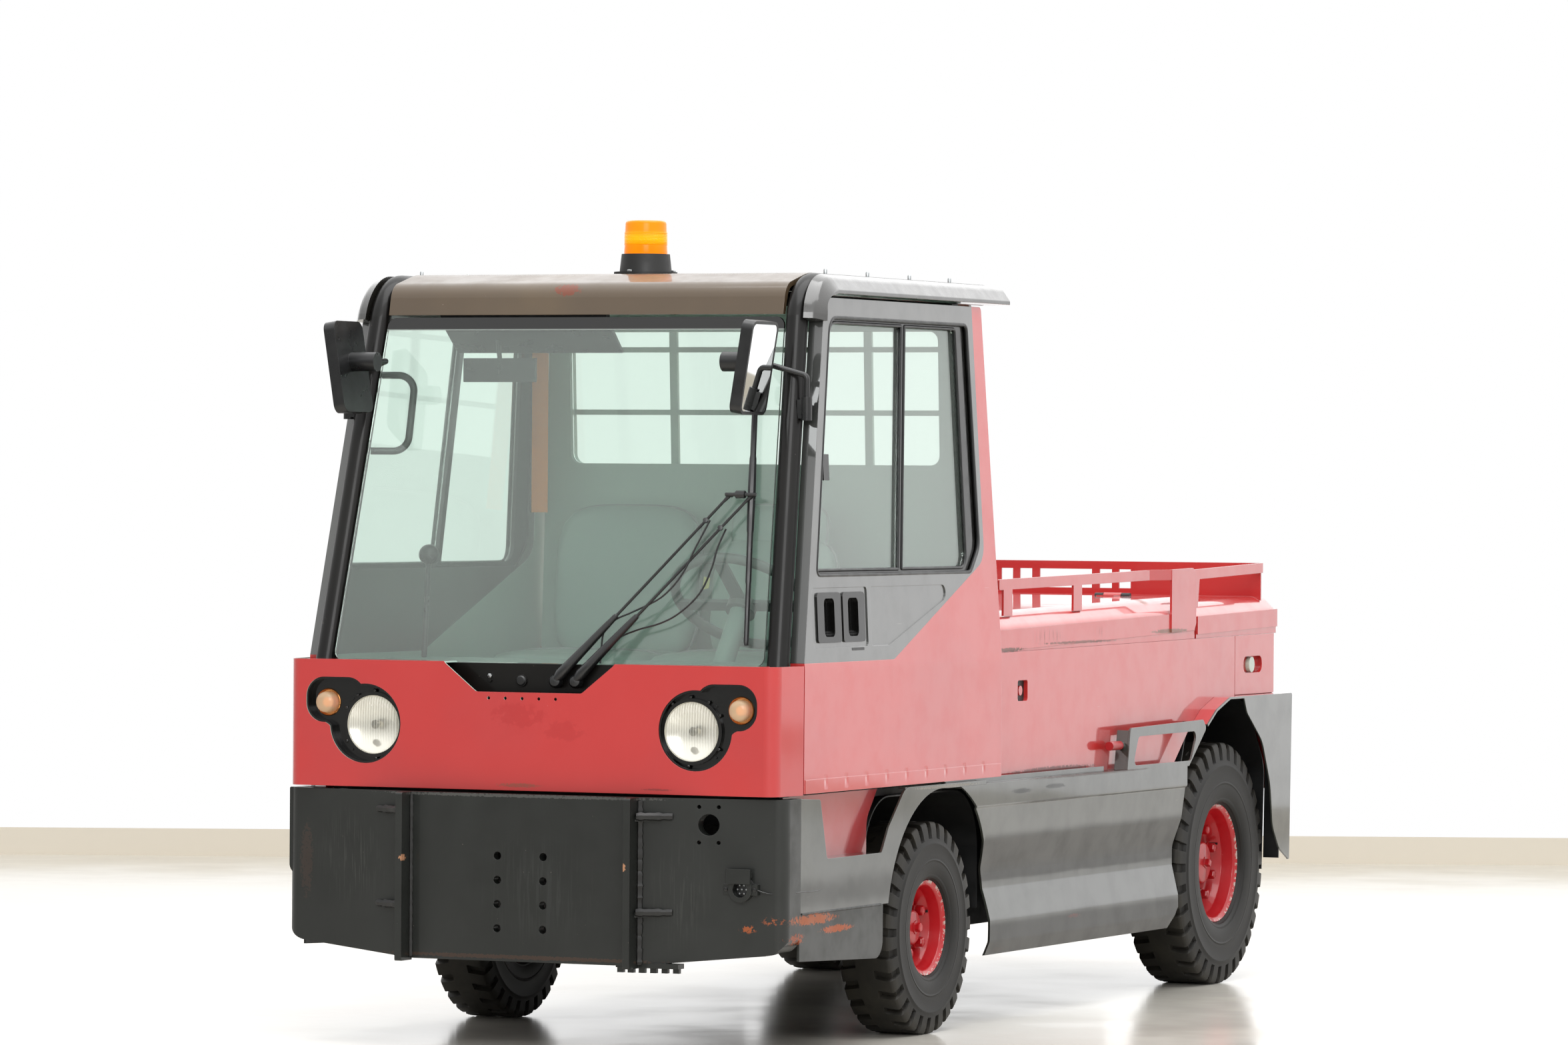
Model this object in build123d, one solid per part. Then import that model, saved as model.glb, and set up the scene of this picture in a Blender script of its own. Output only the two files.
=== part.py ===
from build123d import *
from math import atan2, cos, degrees, hypot, pi, radians, sin, sqrt
import os

# Electric tow tractor for baggage trains, in millimetres. +Z is up, the front faces -Y,
# and the driver's left side is +X. The origin lies on the floor, under the middle of the
# overall length and width. Most pieces are drawn on the left and mirrored to the right.

# Driving dimensions: stations
front_axle_y = -755.0
wheelbase = 2070.0
front_overhang = 1038.0
front_panel_offset = 998.0
door_front_offset = 862.0
door_length = 1242.0
rear_body_offset = 2517.0
rear_end_offset = 2538.0
coupling_offset = 2596.0
lid_split_offset = 1896.0

# Driving dimensions: widths and levels
door_half = 677.0
deck_half = 628.0
sill_level = 626.0
door_bottom = 640.0
belt_level = 940.0
deck_level = 962.0
door_top = 1848.0
roof_level = 1912.0
cab_lean = 0.0503

# Sheet and plate gauges
panel_bottom = 637.0
sheet = 4.0
plate = 6.0
door_depth = 38.0
bumper_plate = 26.0

# Wheels
front_tyre_radius = 269.0
front_tyre_width = 156.0
front_track_half = 573.0
front_rim_radius = 117.0
rear_tyre_radius = 337.0
rear_tyre_width = 180.0
rear_track_half = 560.0
rear_rim_radius = 161.0
kingpin_x = 430.0
kingpin_radius = 15.0
front_spindle_radius = 24.0
rear_spindle_radius = 38.0

# Clearances: seats touch at 0.3, panels keep a shut line, running gear keeps more
seat_gap = 0.3
shut_line = 5.0
shaft_gap = 0.3
steering_sweep = 355.0

# Stations worked out from the driving dimensions


def aft(distance):
    """Y of a station, measured back from the front axle."""
    return front_axle_y + distance


rear_axle_y = front_axle_y + wheelbase
bumper_y = front_axle_y - front_overhang
panel_y = front_axle_y - front_panel_offset
door_front = front_axle_y - door_front_offset
door_rear = door_front + door_length
rear_body_y = front_axle_y + rear_body_offset
rear_end_y = front_axle_y + rear_end_offset
coupling_y = front_axle_y + coupling_offset
lid_split_y = front_axle_y + lid_split_offset

# Shop helpers


def block(x, y, z):
    """Box between two limits on each axis."""
    size = (x[1] - x[0], y[1] - y[0], z[1] - z[0])
    centre = ((x[0] + x[1]) / 2, (y[0] + y[1]) / 2, (z[0] + z[1]) / 2)
    return Pos(*centre) * Box(*size)


def outline(rows):
    """Face from rows of first coordinate, second coordinate, corner radius."""
    count = len(rows)
    starts, ends, middles = [], [], []
    for i in range(count):
        a, b, r = rows[i]
        pa, pb = rows[i - 1][0] - a, rows[i - 1][1] - b
        na, nb = rows[(i + 1) % count][0] - a, rows[(i + 1) % count][1] - b
        before, after = hypot(pa, pb), hypot(na, nb)
        pa, pb, na, nb = pa / before, pb / before, na / after, nb / after
        if r <= 0:
            starts.append((a, b))
            ends.append((a, b))
            middles.append(None)
            continue
        sine = sqrt(max((1 - (pa * na + pb * nb)) / 2, 1e-9))
        cosine = sqrt(max(1 - sine * sine, 1e-9))
        run = r * cosine / sine
        reach = r / sine - r
        bisector = hypot(pa + na, pb + nb)
        starts.append((a + pa * run, b + pb * run))
        ends.append((a + na * run, b + nb * run))
        middles.append((a + (pa + na) / bisector * reach, b + (pb + nb) / bisector * reach))
    edges = []
    for i in range(count):
        if middles[i]:
            edges.append(ThreePointArc(starts[i], middles[i], ends[i]))
        following = starts[(i + 1) % count]
        if hypot(following[0] - ends[i][0], following[1] - ends[i][1]) > 1e-6:
            edges.append(Line(ends[i], following))
    return make_face(edges)


def along_x(rows, x0, x1):
    """Side-view outline of Y, Z, radius rows, thickened from x0 to x1."""
    return extrude(Plane.YZ.offset(x0) * outline(rows), x1 - x0)


def along_y(rows, y0, y1):
    """Cross-section of X, Z, radius rows, run from y0 to y1."""
    return extrude(Plane.XZ.offset(-y1) * outline(rows), y1 - y0)


def along_z(rows, z0, z1):
    """Plan outline of X, Y, radius rows, raised from z0 to z1."""
    return extrude(Plane.XY.offset(z0) * outline(rows), z1 - z0)


def mirrored(shape):
    """The same piece on the other side of the vehicle."""
    return mirror(shape, Plane.YZ)


def both(shape):
    """A left-hand form fused with its mirror image."""
    return shape + mirrored(shape)


def pair(shape):
    """Two separate solids, left and right, that share a node."""
    return Compound(children=[*shape.solids(), *mirrored(shape).solids()])


def bar(p, q, radius):
    """Round bar between two points."""
    p, q = Vector(*p), Vector(*q)
    return extrude(Plane(origin=p, z_dir=q - p) * Circle(radius), (q - p).length)


def bent_bar(points, radius, bend):
    """Round bar along points, with bends of one radius."""
    path = FilletPolyline(*points, radius=bend)
    return sweep(Plane(origin=path @ 0, z_dir=path % 0) * Circle(radius), path)


def disc_x(x0, x1, y, z, radius):
    """Round disc whose axis runs across the vehicle."""
    return Pos(x0, y, z) * extrude(Plane.YZ * Circle(radius), x1 - x0)


def disc_y(x, y0, y1, z, radius):
    """Round disc whose axis runs along the vehicle."""
    return Pos(x, y1, z) * extrude(Plane.XZ * Circle(radius), y1 - y0)


def disc_z(x, y, z0, z1, radius):
    """Round disc that stands upright."""
    return Pos(x, y, z0) * extrude(Plane.XY * Circle(radius), z1 - z0)


def turned(rows, y, z):
    """Body turned about an axis across the vehicle, from rows of X, radius, corner radius."""
    return Pos(0, y, z) * revolve(Plane.XY * outline(rows), Axis.X)


def mirror_rows(rows):
    """Left half of a symmetric cross-section, in order, completed to the full outline."""
    return rows + [(-a, b, r) for a, b, r in reversed(rows)]


nodes = {}

# Doors: one leaf covers the whole cab side and slides back along the deck


def cab_side(outer, inner, low, high):
    """Slice of the cab side between two depths from the door's outer face."""
    top = door_half - (high - belt_level) * cab_lean
    rows = [
        (door_half - outer, low, 0), (door_half - outer, belt_level, 0), (top - outer, high, 0),
        (top - inner, high, 0), (door_half - inner, belt_level, 0), (door_half - inner, low, 0),
    ]
    return along_y(rows, door_front - 100, door_rear + 100)


glass_bottom = 1180.0
glass_top = 1788.0
frame_bottom = belt_level + 16
pillar_rake = 0.2283
band = 12.0


def raked(y, z):
    """Y at height z on a line that leans back with the windscreen pillar from the belt."""
    return y + (z - frame_bottom) * pillar_rake


door_rows = [
    (door_front, door_bottom, 0), (door_front, frame_bottom, 0), (raked(door_front, door_top), door_top, 40),
    (door_rear - 50, door_top, 12), (door_rear, belt_level, 0), (door_rear, door_bottom, 0),
]
frame_rows = [
    (door_front, frame_bottom, 0), (raked(door_front, door_top), door_top, 40),
    (door_rear - 112, door_top, 0), (door_rear - 92, 1199, 60), (door_front + 545, frame_bottom, 30),
]
front_pane = [
    (raked(door_front + 53, glass_bottom), glass_bottom, 12),
    (raked(door_front + 53, glass_top), glass_top, 45),
    (door_front + 687, glass_top, 0), (door_front + 609, glass_bottom, 0),
]
rear_pane = [
    (door_front + 630, glass_bottom, 0), (door_front + 708, glass_top, 0),
    (door_rear - 210, glass_top, 12), (door_rear - 194, glass_bottom, 40),
]
window_rows = [
    (front_pane[0][0] - band, glass_bottom - band, 18), (front_pane[1][0] - band, glass_top + band, 52),
    (rear_pane[2][0] + 62, glass_top + band, 20), (rear_pane[3][0] + 72, glass_bottom + 52, 60),
    (rear_pane[3][0] + 10, glass_bottom - band, 30),
]
handle_z = (1004.0, 1126.0)
handle_rows = ((door_front + 86, 142.0, 40.0, 102.0), (door_front + 240, 132.0, 30.0, 92.0))
handle_recess = 20.0


def door():
    leaf = along_x(door_rows, 500, 700) & cab_side(0, door_depth, door_bottom, door_top + 2)
    upper = along_x(frame_rows, 500, 700)
    window = along_x(window_rows, 500, 700)
    rebate = cab_side(-2, 6, 1100, door_top)
    panel = leaf - upper
    # Folded hem along the panel's lower edge
    hem = along_x([
        (door_front + 6, door_bottom, 0), (door_front + 6, door_bottom + 34, 0),
        (door_rear - 6, door_bottom + 34, 0), (door_rear - 6, door_bottom, 0),
    ], 500, 700) & cab_side(-1.2, 2, door_bottom, door_top)
    panel = panel + hem
    frame = (leaf & upper) - window
    # Sill member under the glass and the sunk triangle below it
    pocket = along_x([
        (door_front + 60, handle_z[0] - 12, 10), (door_front + 60, handle_z[1] + 12, 10),
        (door_front + 390, handle_z[1] + 12, 10), (door_front + 390, handle_z[0] - 12, 10),
    ], 500, 700) & cab_side(-2, 3, 900, 1200)
    triangle = along_x([
        (door_front + 410, handle_z[1] + 12, 10), (door_rear - 240, handle_z[1] + 12, 20),
        (door_front + 520, handle_z[0] - 12, 10), (door_front + 410, handle_z[0] - 12, 10),
    ], 500, 700) & cab_side(-2, 3, 900, 1200)
    frame = frame - pocket - triangle
    trim = (window & upper & cab_side(8, door_depth - 6, 1100, door_top)) - along_x(front_pane, 500, 700)
    trim = trim - along_x(rear_pane, 500, 700)
    for y0, width, open_from, open_to in handle_rows:
        plate_rows = [
            (y0, handle_z[0], 10), (y0, handle_z[1], 10), (y0 + width, handle_z[1], 10), (y0 + width, handle_z[0], 10),
        ]
        pull_rows = [
            (y0 + open_from, handle_z[0] + 14, 14), (y0 + open_from, handle_z[1] - 14, 14),
            (y0 + open_to, handle_z[1] - 14, 14), (y0 + open_to, handle_z[0] + 14, 14),
        ]
        housing = along_x(plate_rows, 500, 700) & cab_side(-1, 26, 900, 1200)
        pull = along_x(pull_rows, 500, 700) & cab_side(-3, handle_recess, 900, 1200)
        frame = frame - (along_x(plate_rows, 500, 700) & cab_side(-3, 26 + seat_gap, 900, 1200))
        trim = trim + (housing - pull)
    # Latch on the sliding pane
    latch_y = raked(door_front + 58, 1430)
    trim = trim + (block((500, 700), (latch_y, latch_y + 34), (1400, 1464)) & cab_side(4, 14, 1100, door_top))
    glass = (along_x(front_pane, 500, 700) + along_x(rear_pane, 500, 700)) & cab_side(16, 22, 1100, door_top)
    return {"door_panel": panel, "door_frame": frame, "door_trim": trim, "door_glass": glass}


for name, shape in door().items():
    nodes[f"{name}_left"] = shape
    nodes[f"{name}_right"] = mirrored(shape)

# Cab frame: round tubes that rise from the cowl beside the doors and run back under the roof
pillar_radius = 27.0
pillar_x = 617.0
pillar_y = door_front - 25
rail_z = roof_level - 29
roof_rear_y = door_rear + 100


def pillar_point(z):
    """Centre of the front pillar at height z."""
    return (pillar_x - (z - belt_level) * cab_lean, pillar_y + (z - belt_level) * pillar_rake, z)


head = pillar_point(rail_z)


def cab_tube():
    path = FilletPolyline(pillar_point(belt_level), head, (head[0], roof_rear_y, rail_z), radius=110)
    return sweep(Plane(origin=path @ 0, z_dir=path % 0) * Circle(pillar_radius), path)


roof_gauge = 18.0
roof_fall = 6.0
roof_front_y = aft(-560)


def under_roof(y):
    """Level of the roof skin's underside at y, behind its rounded front."""
    fall = roof_fall * (y - roof_front_y) / (roof_rear_y - 52 - roof_front_y)
    return roof_level - roof_gauge - fall - seat_gap


wall_top_y = door_rear - 95
header_y = (aft(-520), aft(-480))
front_header = block((-head[0], head[0]), header_y, (under_roof(header_y[1]) - 26, under_roof(header_y[1])))
rear_header = block((-head[0], head[0]), (wall_top_y, wall_top_y + 40),
                    (door_top + 4 + seat_gap, under_roof(wall_top_y + 40)))
pillar_base = block((pillar_x - 34, pillar_x + 22), (pillar_y - 34, pillar_y + 20), (panel_bottom - shut_line + seat_gap, belt_level + 4))
nodes["cab_frame"] = both(cab_tube() + pillar_base) + front_header + rear_header

# Roof rails: black mouldings that curl down over the pillar and shield the door tops


def roof_rail():
    x = head[0] + pillar_radius + seat_gap
    foot = pillar_point(rail_z - 92)
    lower = (foot[0] + pillar_radius + 1, foot[1] - 4, foot[2])
    upper = (x, head[1] - 4, rail_z)
    path = FilletPolyline(lower, upper, (x, roof_rear_y + 14, rail_z), radius=100)
    section = Plane(origin=path @ 0, x_dir=(1, 0, 0), z_dir=path % 0) * outline([
        (0, 27, 0), (47, 27, 2), (47, 18, 6), (26, -14, 26), (0, -24, 0),
    ])
    door_way = along_x([
        (raked(door_front, 1700) - 6, 1700, 0), (raked(door_front, door_top) - 6, door_top + 6, 46),
        (aft(700), door_top + 6, 0), (aft(700), 1700, 0),
    ], 560, 700)
    return sweep(section, path) - door_way


nodes["roof_rails"] = pair(roof_rail())

# Roof skin between the tubes, with its rounded front above the windscreen
roof_half = head[0] - pillar_radius - seat_gap
roof_rows = [
    (aft(-706), 1806, 0), (aft(-690), 1880, 50), (roof_front_y, roof_level, 200),
    (roof_rear_y - 40, roof_level - roof_fall, 30), (roof_rear_y, 1852, 0), (roof_rear_y - 14, 1852, 0),
    (roof_rear_y - 52, roof_level - roof_gauge - roof_fall, 24), (roof_front_y, roof_level - roof_gauge, 180),
    (aft(-674), 1872, 40), (aft(-692), 1806, 0),
]
nodes["roof"] = along_x(roof_rows, -roof_half, roof_half)

# Windscreen
screen_gauge = 7.0
screen_foot = (aft(-906), belt_level + 6)
screen_head = (aft(-701), 1800.0)
screen_rake = (screen_head[0] - screen_foot[0]) / (screen_head[1] - screen_foot[1])
screen_foot_half = pillar_x - pillar_radius - 3
screen_head_half = screen_foot_half - (screen_head[1] - screen_foot[1]) * cab_lean


def screen_y(z):
    """Y of the windscreen's outer face at height z."""
    return screen_foot[0] + (z - screen_foot[1]) * screen_rake


screen_side = along_x([
    (screen_foot[0], screen_foot[1], 0), (screen_head[0], screen_head[1], 0),
    (screen_head[0] + screen_gauge, screen_head[1], 0), (screen_foot[0] + screen_gauge, screen_foot[1], 0),
], -700, 700)
screen_front = along_y(mirror_rows([
    (screen_foot_half, screen_foot[1], 24), (screen_head_half, screen_head[1], 24),
]), screen_foot[0] - 20, screen_head[0] + 30)
nodes["windscreen"] = screen_side & screen_front

# Cowl: black pressing under the windscreen, sunk behind the notch
cowl_wall_y = panel_y + 55
cowl_floor = 868.0
cowl_half = pillar_x - 34 - seat_gap
cowl = block((-cowl_half, cowl_half), (cowl_wall_y, screen_foot[0] + 10), (900, screen_foot[1] - seat_gap))
cowl = cowl + block((-225, 225), (panel_y + sheet + seat_gap, cowl_wall_y + 8), (cowl_floor - 6, cowl_floor))
cowl = cowl + block((-225, 225), (cowl_wall_y, cowl_wall_y + 8), (cowl_floor - 6, 910))
for x, radius in ((-46, 15), (-132, 5)):
    cowl = cowl + disc_y(x, cowl_wall_y - 5, cowl_wall_y + 2, 904, radius)
nodes["cowl"] = cowl

# Wiper: two parallel arms and an upright blade
wiper_pivots = ((60.0, 910.0), (114.0, 910.0))
wiper_ends = ((461.0, 1362.0), (520.0, 1362.0))
blade_ends = ((548.0, 999.0), (480.0, 1728.0))
arm_standoff = 30.0


def wiper():
    solid = None
    for (px, pz), (ex, ez) in zip(wiper_pivots, wiper_ends):
        foot = (px, screen_y(pz) - arm_standoff - 26, pz)
        end = (ex, screen_y(ez) - arm_standoff, ez)
        arm = bar(foot, end, 6) + disc_y(px, foot[1] - 8, cowl_wall_y - seat_gap, pz, 12)
        solid = arm if solid is None else solid + arm
    low, high = blade_ends
    left, right = wiper_ends
    bridge = bar((left[0] - 10, screen_y(left[1]) - arm_standoff, left[1]),
                 (right[0] + 14, screen_y(right[1]) - arm_standoff, right[1]), 7)
    blade = bar((low[0], screen_y(low[1]) - 11, low[1]), (high[0], screen_y(high[1]) - 11, high[1]), 6)
    middle = (screen_y(1362) - arm_standoff, 1362)
    carrier = bar((514, middle[0], middle[1]), (514, middle[0] + 22, middle[1]), 6)
    return solid + bridge + blade + carrier


nodes["wiper"] = wiper()

# Cab floor with the front bulkhead
floor_top = door_bottom - 10
floor_half = 610.0
bulkhead_y = pillar_y + 30
cab_floor = block((-floor_half, floor_half), (bulkhead_y, door_rear - 5), (floor_top - 18, floor_top))
bulkhead = block((-570, 570), (bulkhead_y, bulkhead_y + 4), (floor_top - 10, 944))
nodes["cab_floor"] = cab_floor + bulkhead

# Rear wall of the cab with its barred window
wall_depth = 40.0
wall_half = deck_half - sheet - seat_gap
wall_foot_y = door_rear - 45
window_half = 525.0
window_z = (1440.0, 1785.0)
wall_lean = (wall_foot_y - wall_top_y) / (door_top + 4 - belt_level)


def wall_y(z):
    """Y of the rear wall's inner face at height z, above the belt."""
    return wall_foot_y - (z - belt_level) * wall_lean


def rear_wall():
    top = door_top + 4
    side = along_x([
        (wall_foot_y, floor_top + seat_gap, 0), (wall_foot_y, belt_level, 0), (wall_top_y, top, 0),
        (wall_top_y + wall_depth, top, 0), (wall_foot_y + wall_depth, belt_level, 0),
        (wall_foot_y + wall_depth, floor_top + seat_gap, 0),
    ], -700, 700)
    front = along_y(mirror_rows([
        (wall_half, floor_top + seat_gap, 0), (wall_half, belt_level, 0),
        (wall_half - (top - belt_level) * cab_lean, top, 0),
    ]), wall_top_y - 50, wall_foot_y + 100)
    window = along_y(mirror_rows([(window_half, window_z[0], 25), (window_half, window_z[1], 25)]),
                     wall_top_y - 50, wall_foot_y + 100)
    wall = (side & front) - window
    bars = None
    for x in (-235, 316, 399):
        upright = block((x - 11, x + 11), (-2000, 2000), (window_z[0] - 4, window_z[1] + 4))
        bars = upright if bars is None else bars + upright
    for z in (1575, 1739):
        bars = bars + block((-window_half - 4, window_half + 4), (-2000, 2000), (z - 7, z + 7))
    slice_rows = [
        (wall_y(window_z[0] - 20) + 28, window_z[0] - 20, 0), (wall_y(window_z[1] + 20) + 28, window_z[1] + 20, 0),
        (wall_y(window_z[1] + 20) + 38, window_z[1] + 20, 0), (wall_y(window_z[0] - 20) + 38, window_z[0] - 20, 0),
    ]
    return wall + (bars & along_x(slice_rows, -700, 700))


nodes["rear_wall"] = rear_wall()
pane_front = along_y(mirror_rows([
    (window_half - seat_gap, window_z[0] + seat_gap, 25), (window_half - seat_gap, window_z[1] - seat_gap, 25),
]), wall_top_y - 50, wall_foot_y + 100)
nodes["rear_window"] = pane_front & along_x([
    (wall_y(1400) + 14, 1400, 0), (wall_y(1820) + 14, 1820, 0), (wall_y(1820) + 20, 1820, 0), (wall_y(1400) + 20, 1400, 0),
], -700, 700)

# Dashboard, steering column and steering wheel
wheel_centre = (300.0, aft(-395), 1095.0)
column_axis = (0.0, 0.62, 0.7846)


def on_column(distance):
    """Point on the steering axis, measured up from the wheel's centre."""
    return tuple(c + distance * a for c, a in zip(wheel_centre, column_axis))


dashboard = along_x([
    (aft(-840), floor_top + seat_gap, 0), (aft(-840), 925, 20), (aft(-560), 955, 40), (aft(-600), 800, 40),
    (aft(-700), 760, 20), (aft(-700), floor_top + seat_gap, 0),
], -565, 565)
nodes["dashboard"] = dashboard + bar(on_column(-35 - seat_gap), on_column(-300), 26)
rim_plane = Plane(origin=wheel_centre, x_dir=(1, 0, 0), z_dir=column_axis)
spokes = Pos(0, 0, -12) * Box(340, 34, 10) + Pos(0, -88, -12) * Box(34, 170, 10)
nodes["steering_wheel"] = rim_plane * (Torus(178, 13) + Pos(0, 0, -20) * Cylinder(38, 30) + spokes)

# Seats
seat_x = 300.0


def seat():
    base = block((seat_x - 215, seat_x + 215), (aft(-215), aft(235)), (floor_top + seat_gap, 850))
    cushion = along_x([
        (aft(-260), 850, 20), (aft(-268), 925, 36), (aft(-200), 962, 40), (aft(200), 930, 10), (aft(215), 850, 0),
    ], seat_x - 235, seat_x + 235)
    back_side = along_x([
        (aft(150), 900, 30), (aft(205), 1320, 36), (aft(275), 1330, 30), (aft(245), 900, 20),
    ], seat_x - 225, seat_x + 225)
    back_front = along_y([
        (seat_x - 225, 890, 10), (seat_x - 215, 1332, 80), (seat_x + 215, 1332, 80), (seat_x + 225, 890, 10),
    ], aft(100), aft(300))
    return base + cushion + (back_side & back_front)


nodes["seats"] = pair(seat())

# Cab fittings on the right: grab handle, drive lever, sun visor and inner mirror


def cab_fittings():
    z = 1560
    px, py, pz = pillar_point(z + 95)
    qx, qy, qz = pillar_point(z - 95)
    grab = bent_bar([(-px + 28, py + 8, pz), (-px + 110, py + 30, pz), (-qx + 110, qy + 50, qz),
                     (-qx + 28, qy + 8, qz)], 9, 40)
    lever = bar((-470, aft(-640), 949.9), (-500, aft(-560), 1180), 7) + Pos(-503, aft(-552), 1205) * Sphere(26)
    visor = along_x([
        (aft(-660), 1792, 3), (aft(-560), 1712, 3), (aft(-556), 1718, 3), (aft(-648), 1802, 3),
    ], -420, 40)
    visor = visor + block((-420, 40), (aft(-662), aft(-640)), (1790, 1840))
    visor = visor + block((-420, 40), (aft(-660), header_y[1]), (1830, under_roof(header_y[1]) - 26 - seat_gap))
    inner = block((-390, -190), (aft(-590), aft(-578)), (1640, 1700)) + bar((-290, aft(-584), 1690), (-290, aft(-600), 1760), 6)
    return Compound(children=[*grab.solids(), *lever.solids(), *(visor + inner).solids()])


nodes["cab_fittings"] = cab_fittings()

# Door mirrors, folded back along the cab
mirror_centre = (556.0, aft(-900), 1672.0)
mirror_tilt = 9.0


def door_mirror():
    frame = Pos(*mirror_centre) * Rot(0, mirror_tilt, 0)
    shell = frame * extrude(Plane.YZ.offset(-17) * RectangleRounded(152, 228, 22), 30)
    shell = shell - frame * extrude(Plane.YZ.offset(9) * RectangleRounded(138, 214, 16), 10)
    clamp = disc_x(mirror_centre[0] - 84, mirror_centre[0] - 12, mirror_centre[1], mirror_centre[2] + 14, 24)
    bx, by, bz = pillar_point(1575)
    foot = (bx + 44, by - 12, bz)
    rod = bent_bar([foot, (foot[0], foot[1], 1655), (mirror_centre[0] - 50, foot[1] - 30, 1690),
                    (mirror_centre[0] - 50, mirror_centre[1] + 10, mirror_centre[2] + 14)], 7, 14)
    bracket = disc_z(foot[0], foot[1], 1545, 1602, 13)
    bracket = bracket + block((bx + pillar_radius - 6, foot[0]), (foot[1] - 8, foot[1] + 8), (1550, 1596))
    glass = frame * extrude(Plane.YZ.offset(9 + seat_gap) * RectangleRounded(137, 213, 16), 3)
    return shell + clamp + rod + bracket, glass


mirror_body, mirror_pane = door_mirror()
nodes["door_mirrors"] = pair(mirror_body - cab_tube())
nodes["mirror_glasses"] = pair(mirror_pane)

# Beacon
beacon_y = aft(-350)
beacon_base = disc_z(0, beacon_y, roof_level, roof_level + 10, 80) + Pos(0, beacon_y, roof_level + 32) * Cone(66, 61, 46)
nodes["beacon_base"] = beacon_base
lens_z = roof_level + 55 + seat_gap
nodes["beacon_lens"] = Pos(0, beacon_y, lens_z + 42) * Cone(57, 54, 84)

# Front bumper: heavy bowed plate with two ribs, eight coupling holes and flanks under the wings
bumper_top = 630.0
bumper_bottom = 222.0
bumper_bow = 72.0
bumper_flank = 160.0
flank_seam = 350.0
flank_rear_y = aft(-379)
rib_x = 300.0
rib_thickness = 18.0
rib_reach = 48.0
bolt_half_spacing = 62.0
bolt_bottom_z = 302.0
bolt_pitch = 59.0
bolt_hole_radius = 10.0
socket = (571.0, 413.0)
tow_hole = (489.0, 567.0)
bow_slope = bumper_bow / (door_half - rib_x)


def bow_y(x):
    """Y of the bumper's front face at distance x from the middle."""
    return bumper_y + max(0.0, abs(x) - rib_x) * bow_slope


def front_bumper():
    inner = door_half - bumper_plate
    corner = bumper_y + bumper_bow
    back = bumper_y + bumper_flank
    half_plan = [
        (0, bumper_y, 0), (rib_x, bumper_y, 40), (door_half, corner, 32), (door_half, back, 0), (inner, back, 0),
        (inner, corner + bumper_plate, 8), (rib_x, bumper_y + bumper_plate, 0), (0, bumper_y + bumper_plate, 0),
    ]
    solid = both(along_z(half_plan, bumper_bottom - 5, bumper_top))
    front_view = mirror_rows([
        (rib_x, bumper_bottom, 300), (door_half + 5, bumper_bottom + 36, 60), (door_half + 5, bumper_top, 0),
    ])
    solid = solid & along_y(front_view, bumper_y - 5, back + 10)
    # Flank below the seam, rolled under along its lower edge
    flank = along_x([
        (back - 6, bumper_bottom + 20, 0), (back - 6, flank_seam, 0), (flank_rear_y, flank_seam, 0),
        (flank_rear_y, bumper_bottom - 6, 45), (back - 6, bumper_bottom + 14, 0),
    ], door_half - plate, door_half)
    solid = solid + both(flank)
    rib_side = [
        (bumper_y - rib_reach, bumper_bottom - 5, 4), (bumper_y - rib_reach, bumper_top, 6),
        (bumper_y + 10, bumper_top, 0), (bumper_y + 10, bumper_bottom - 5, 0),
    ]
    solid = solid + both(along_x(rib_side, rib_x, rib_x + rib_thickness))
    # Gusset tabs outboard of the ribs
    for z in (347.0, 579.0):
        tab = along_z([
            (rib_x + 8, bumper_y - 30, 0), (rib_x + rib_thickness + 30, bow_y(rib_x + 50) + 2, 0),
            (rib_x + 105, bow_y(rib_x + 105) + 6, 0), (rib_x + 8, bumper_y + 12, 0),
        ], z - 6, z + 6)
        solid = solid + both(tab)
    for x in (-bolt_half_spacing, bolt_half_spacing):
        for row in range(4):
            z = bolt_bottom_z + row * bolt_pitch
            solid = solid - disc_y(x, bumper_y - 20, bumper_y + 50, z, bolt_hole_radius)
    hx, hz = tow_hole
    solid = solid - disc_y(hx, bumper_y - 20, bumper_y + 110, hz, 26)
    for dx in (-24, 24):
        for dz in (-43, 43):
            solid = solid - disc_y(hx + dx, bumper_y - 20, bumper_y + 110, hz + dz, 5)
    # Power socket with its eared flange and hinged flap, on the left
    sx, sz = socket
    face = bow_y(sx)
    solid = solid - disc_y(sx, face - 30, face + 60, sz, 19)
    flange = disc_y(sx, face - 14, face + 12, sz, 31) - disc_y(sx, face - 30, face + 40, sz, 19)
    ear = block((sx - 45, sx + 45), (face - 10, face + 12), (sz - 13, sz + 13)) - disc_y(sx, face - 30, face + 40, sz, 19)
    flap = block((sx - 34, sx + 30), (face - 22, face - 16), (sz + 14, sz + 50))
    hinge = bar((sx - 34, face - 12, sz + 36), (sx + 30, face - 12, sz + 36), 7)
    solid = solid + flange + ear + hinge + flap + disc_y(sx, face + 8, face + 24, sz, 20)
    # Toothed strip under the left half
    for i in range(6):
        x = 262 + i * 28.0
        solid = solid + block((x, x + 16), (bow_y(x) + 4, bow_y(x) + 16), (206, bumper_bottom + 8))
    solid = solid + block((258, 425), (bow_y(258) + 4, bow_y(425) + 14), (bumper_bottom - 4, bumper_bottom + 8))
    # Guard plate welded on the right front corner
    guard = along_y([(-door_half - 1.2, 412, 28), (-door_half - 1.2, 630, 4), (-door_half + 22, 630, 0),
                     (-door_half + 22, 412, 0)], bow_y(door_half) + 6, bow_y(door_half) + 12)
    return solid + guard


nodes["front_bumper"] = front_bumper()

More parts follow.
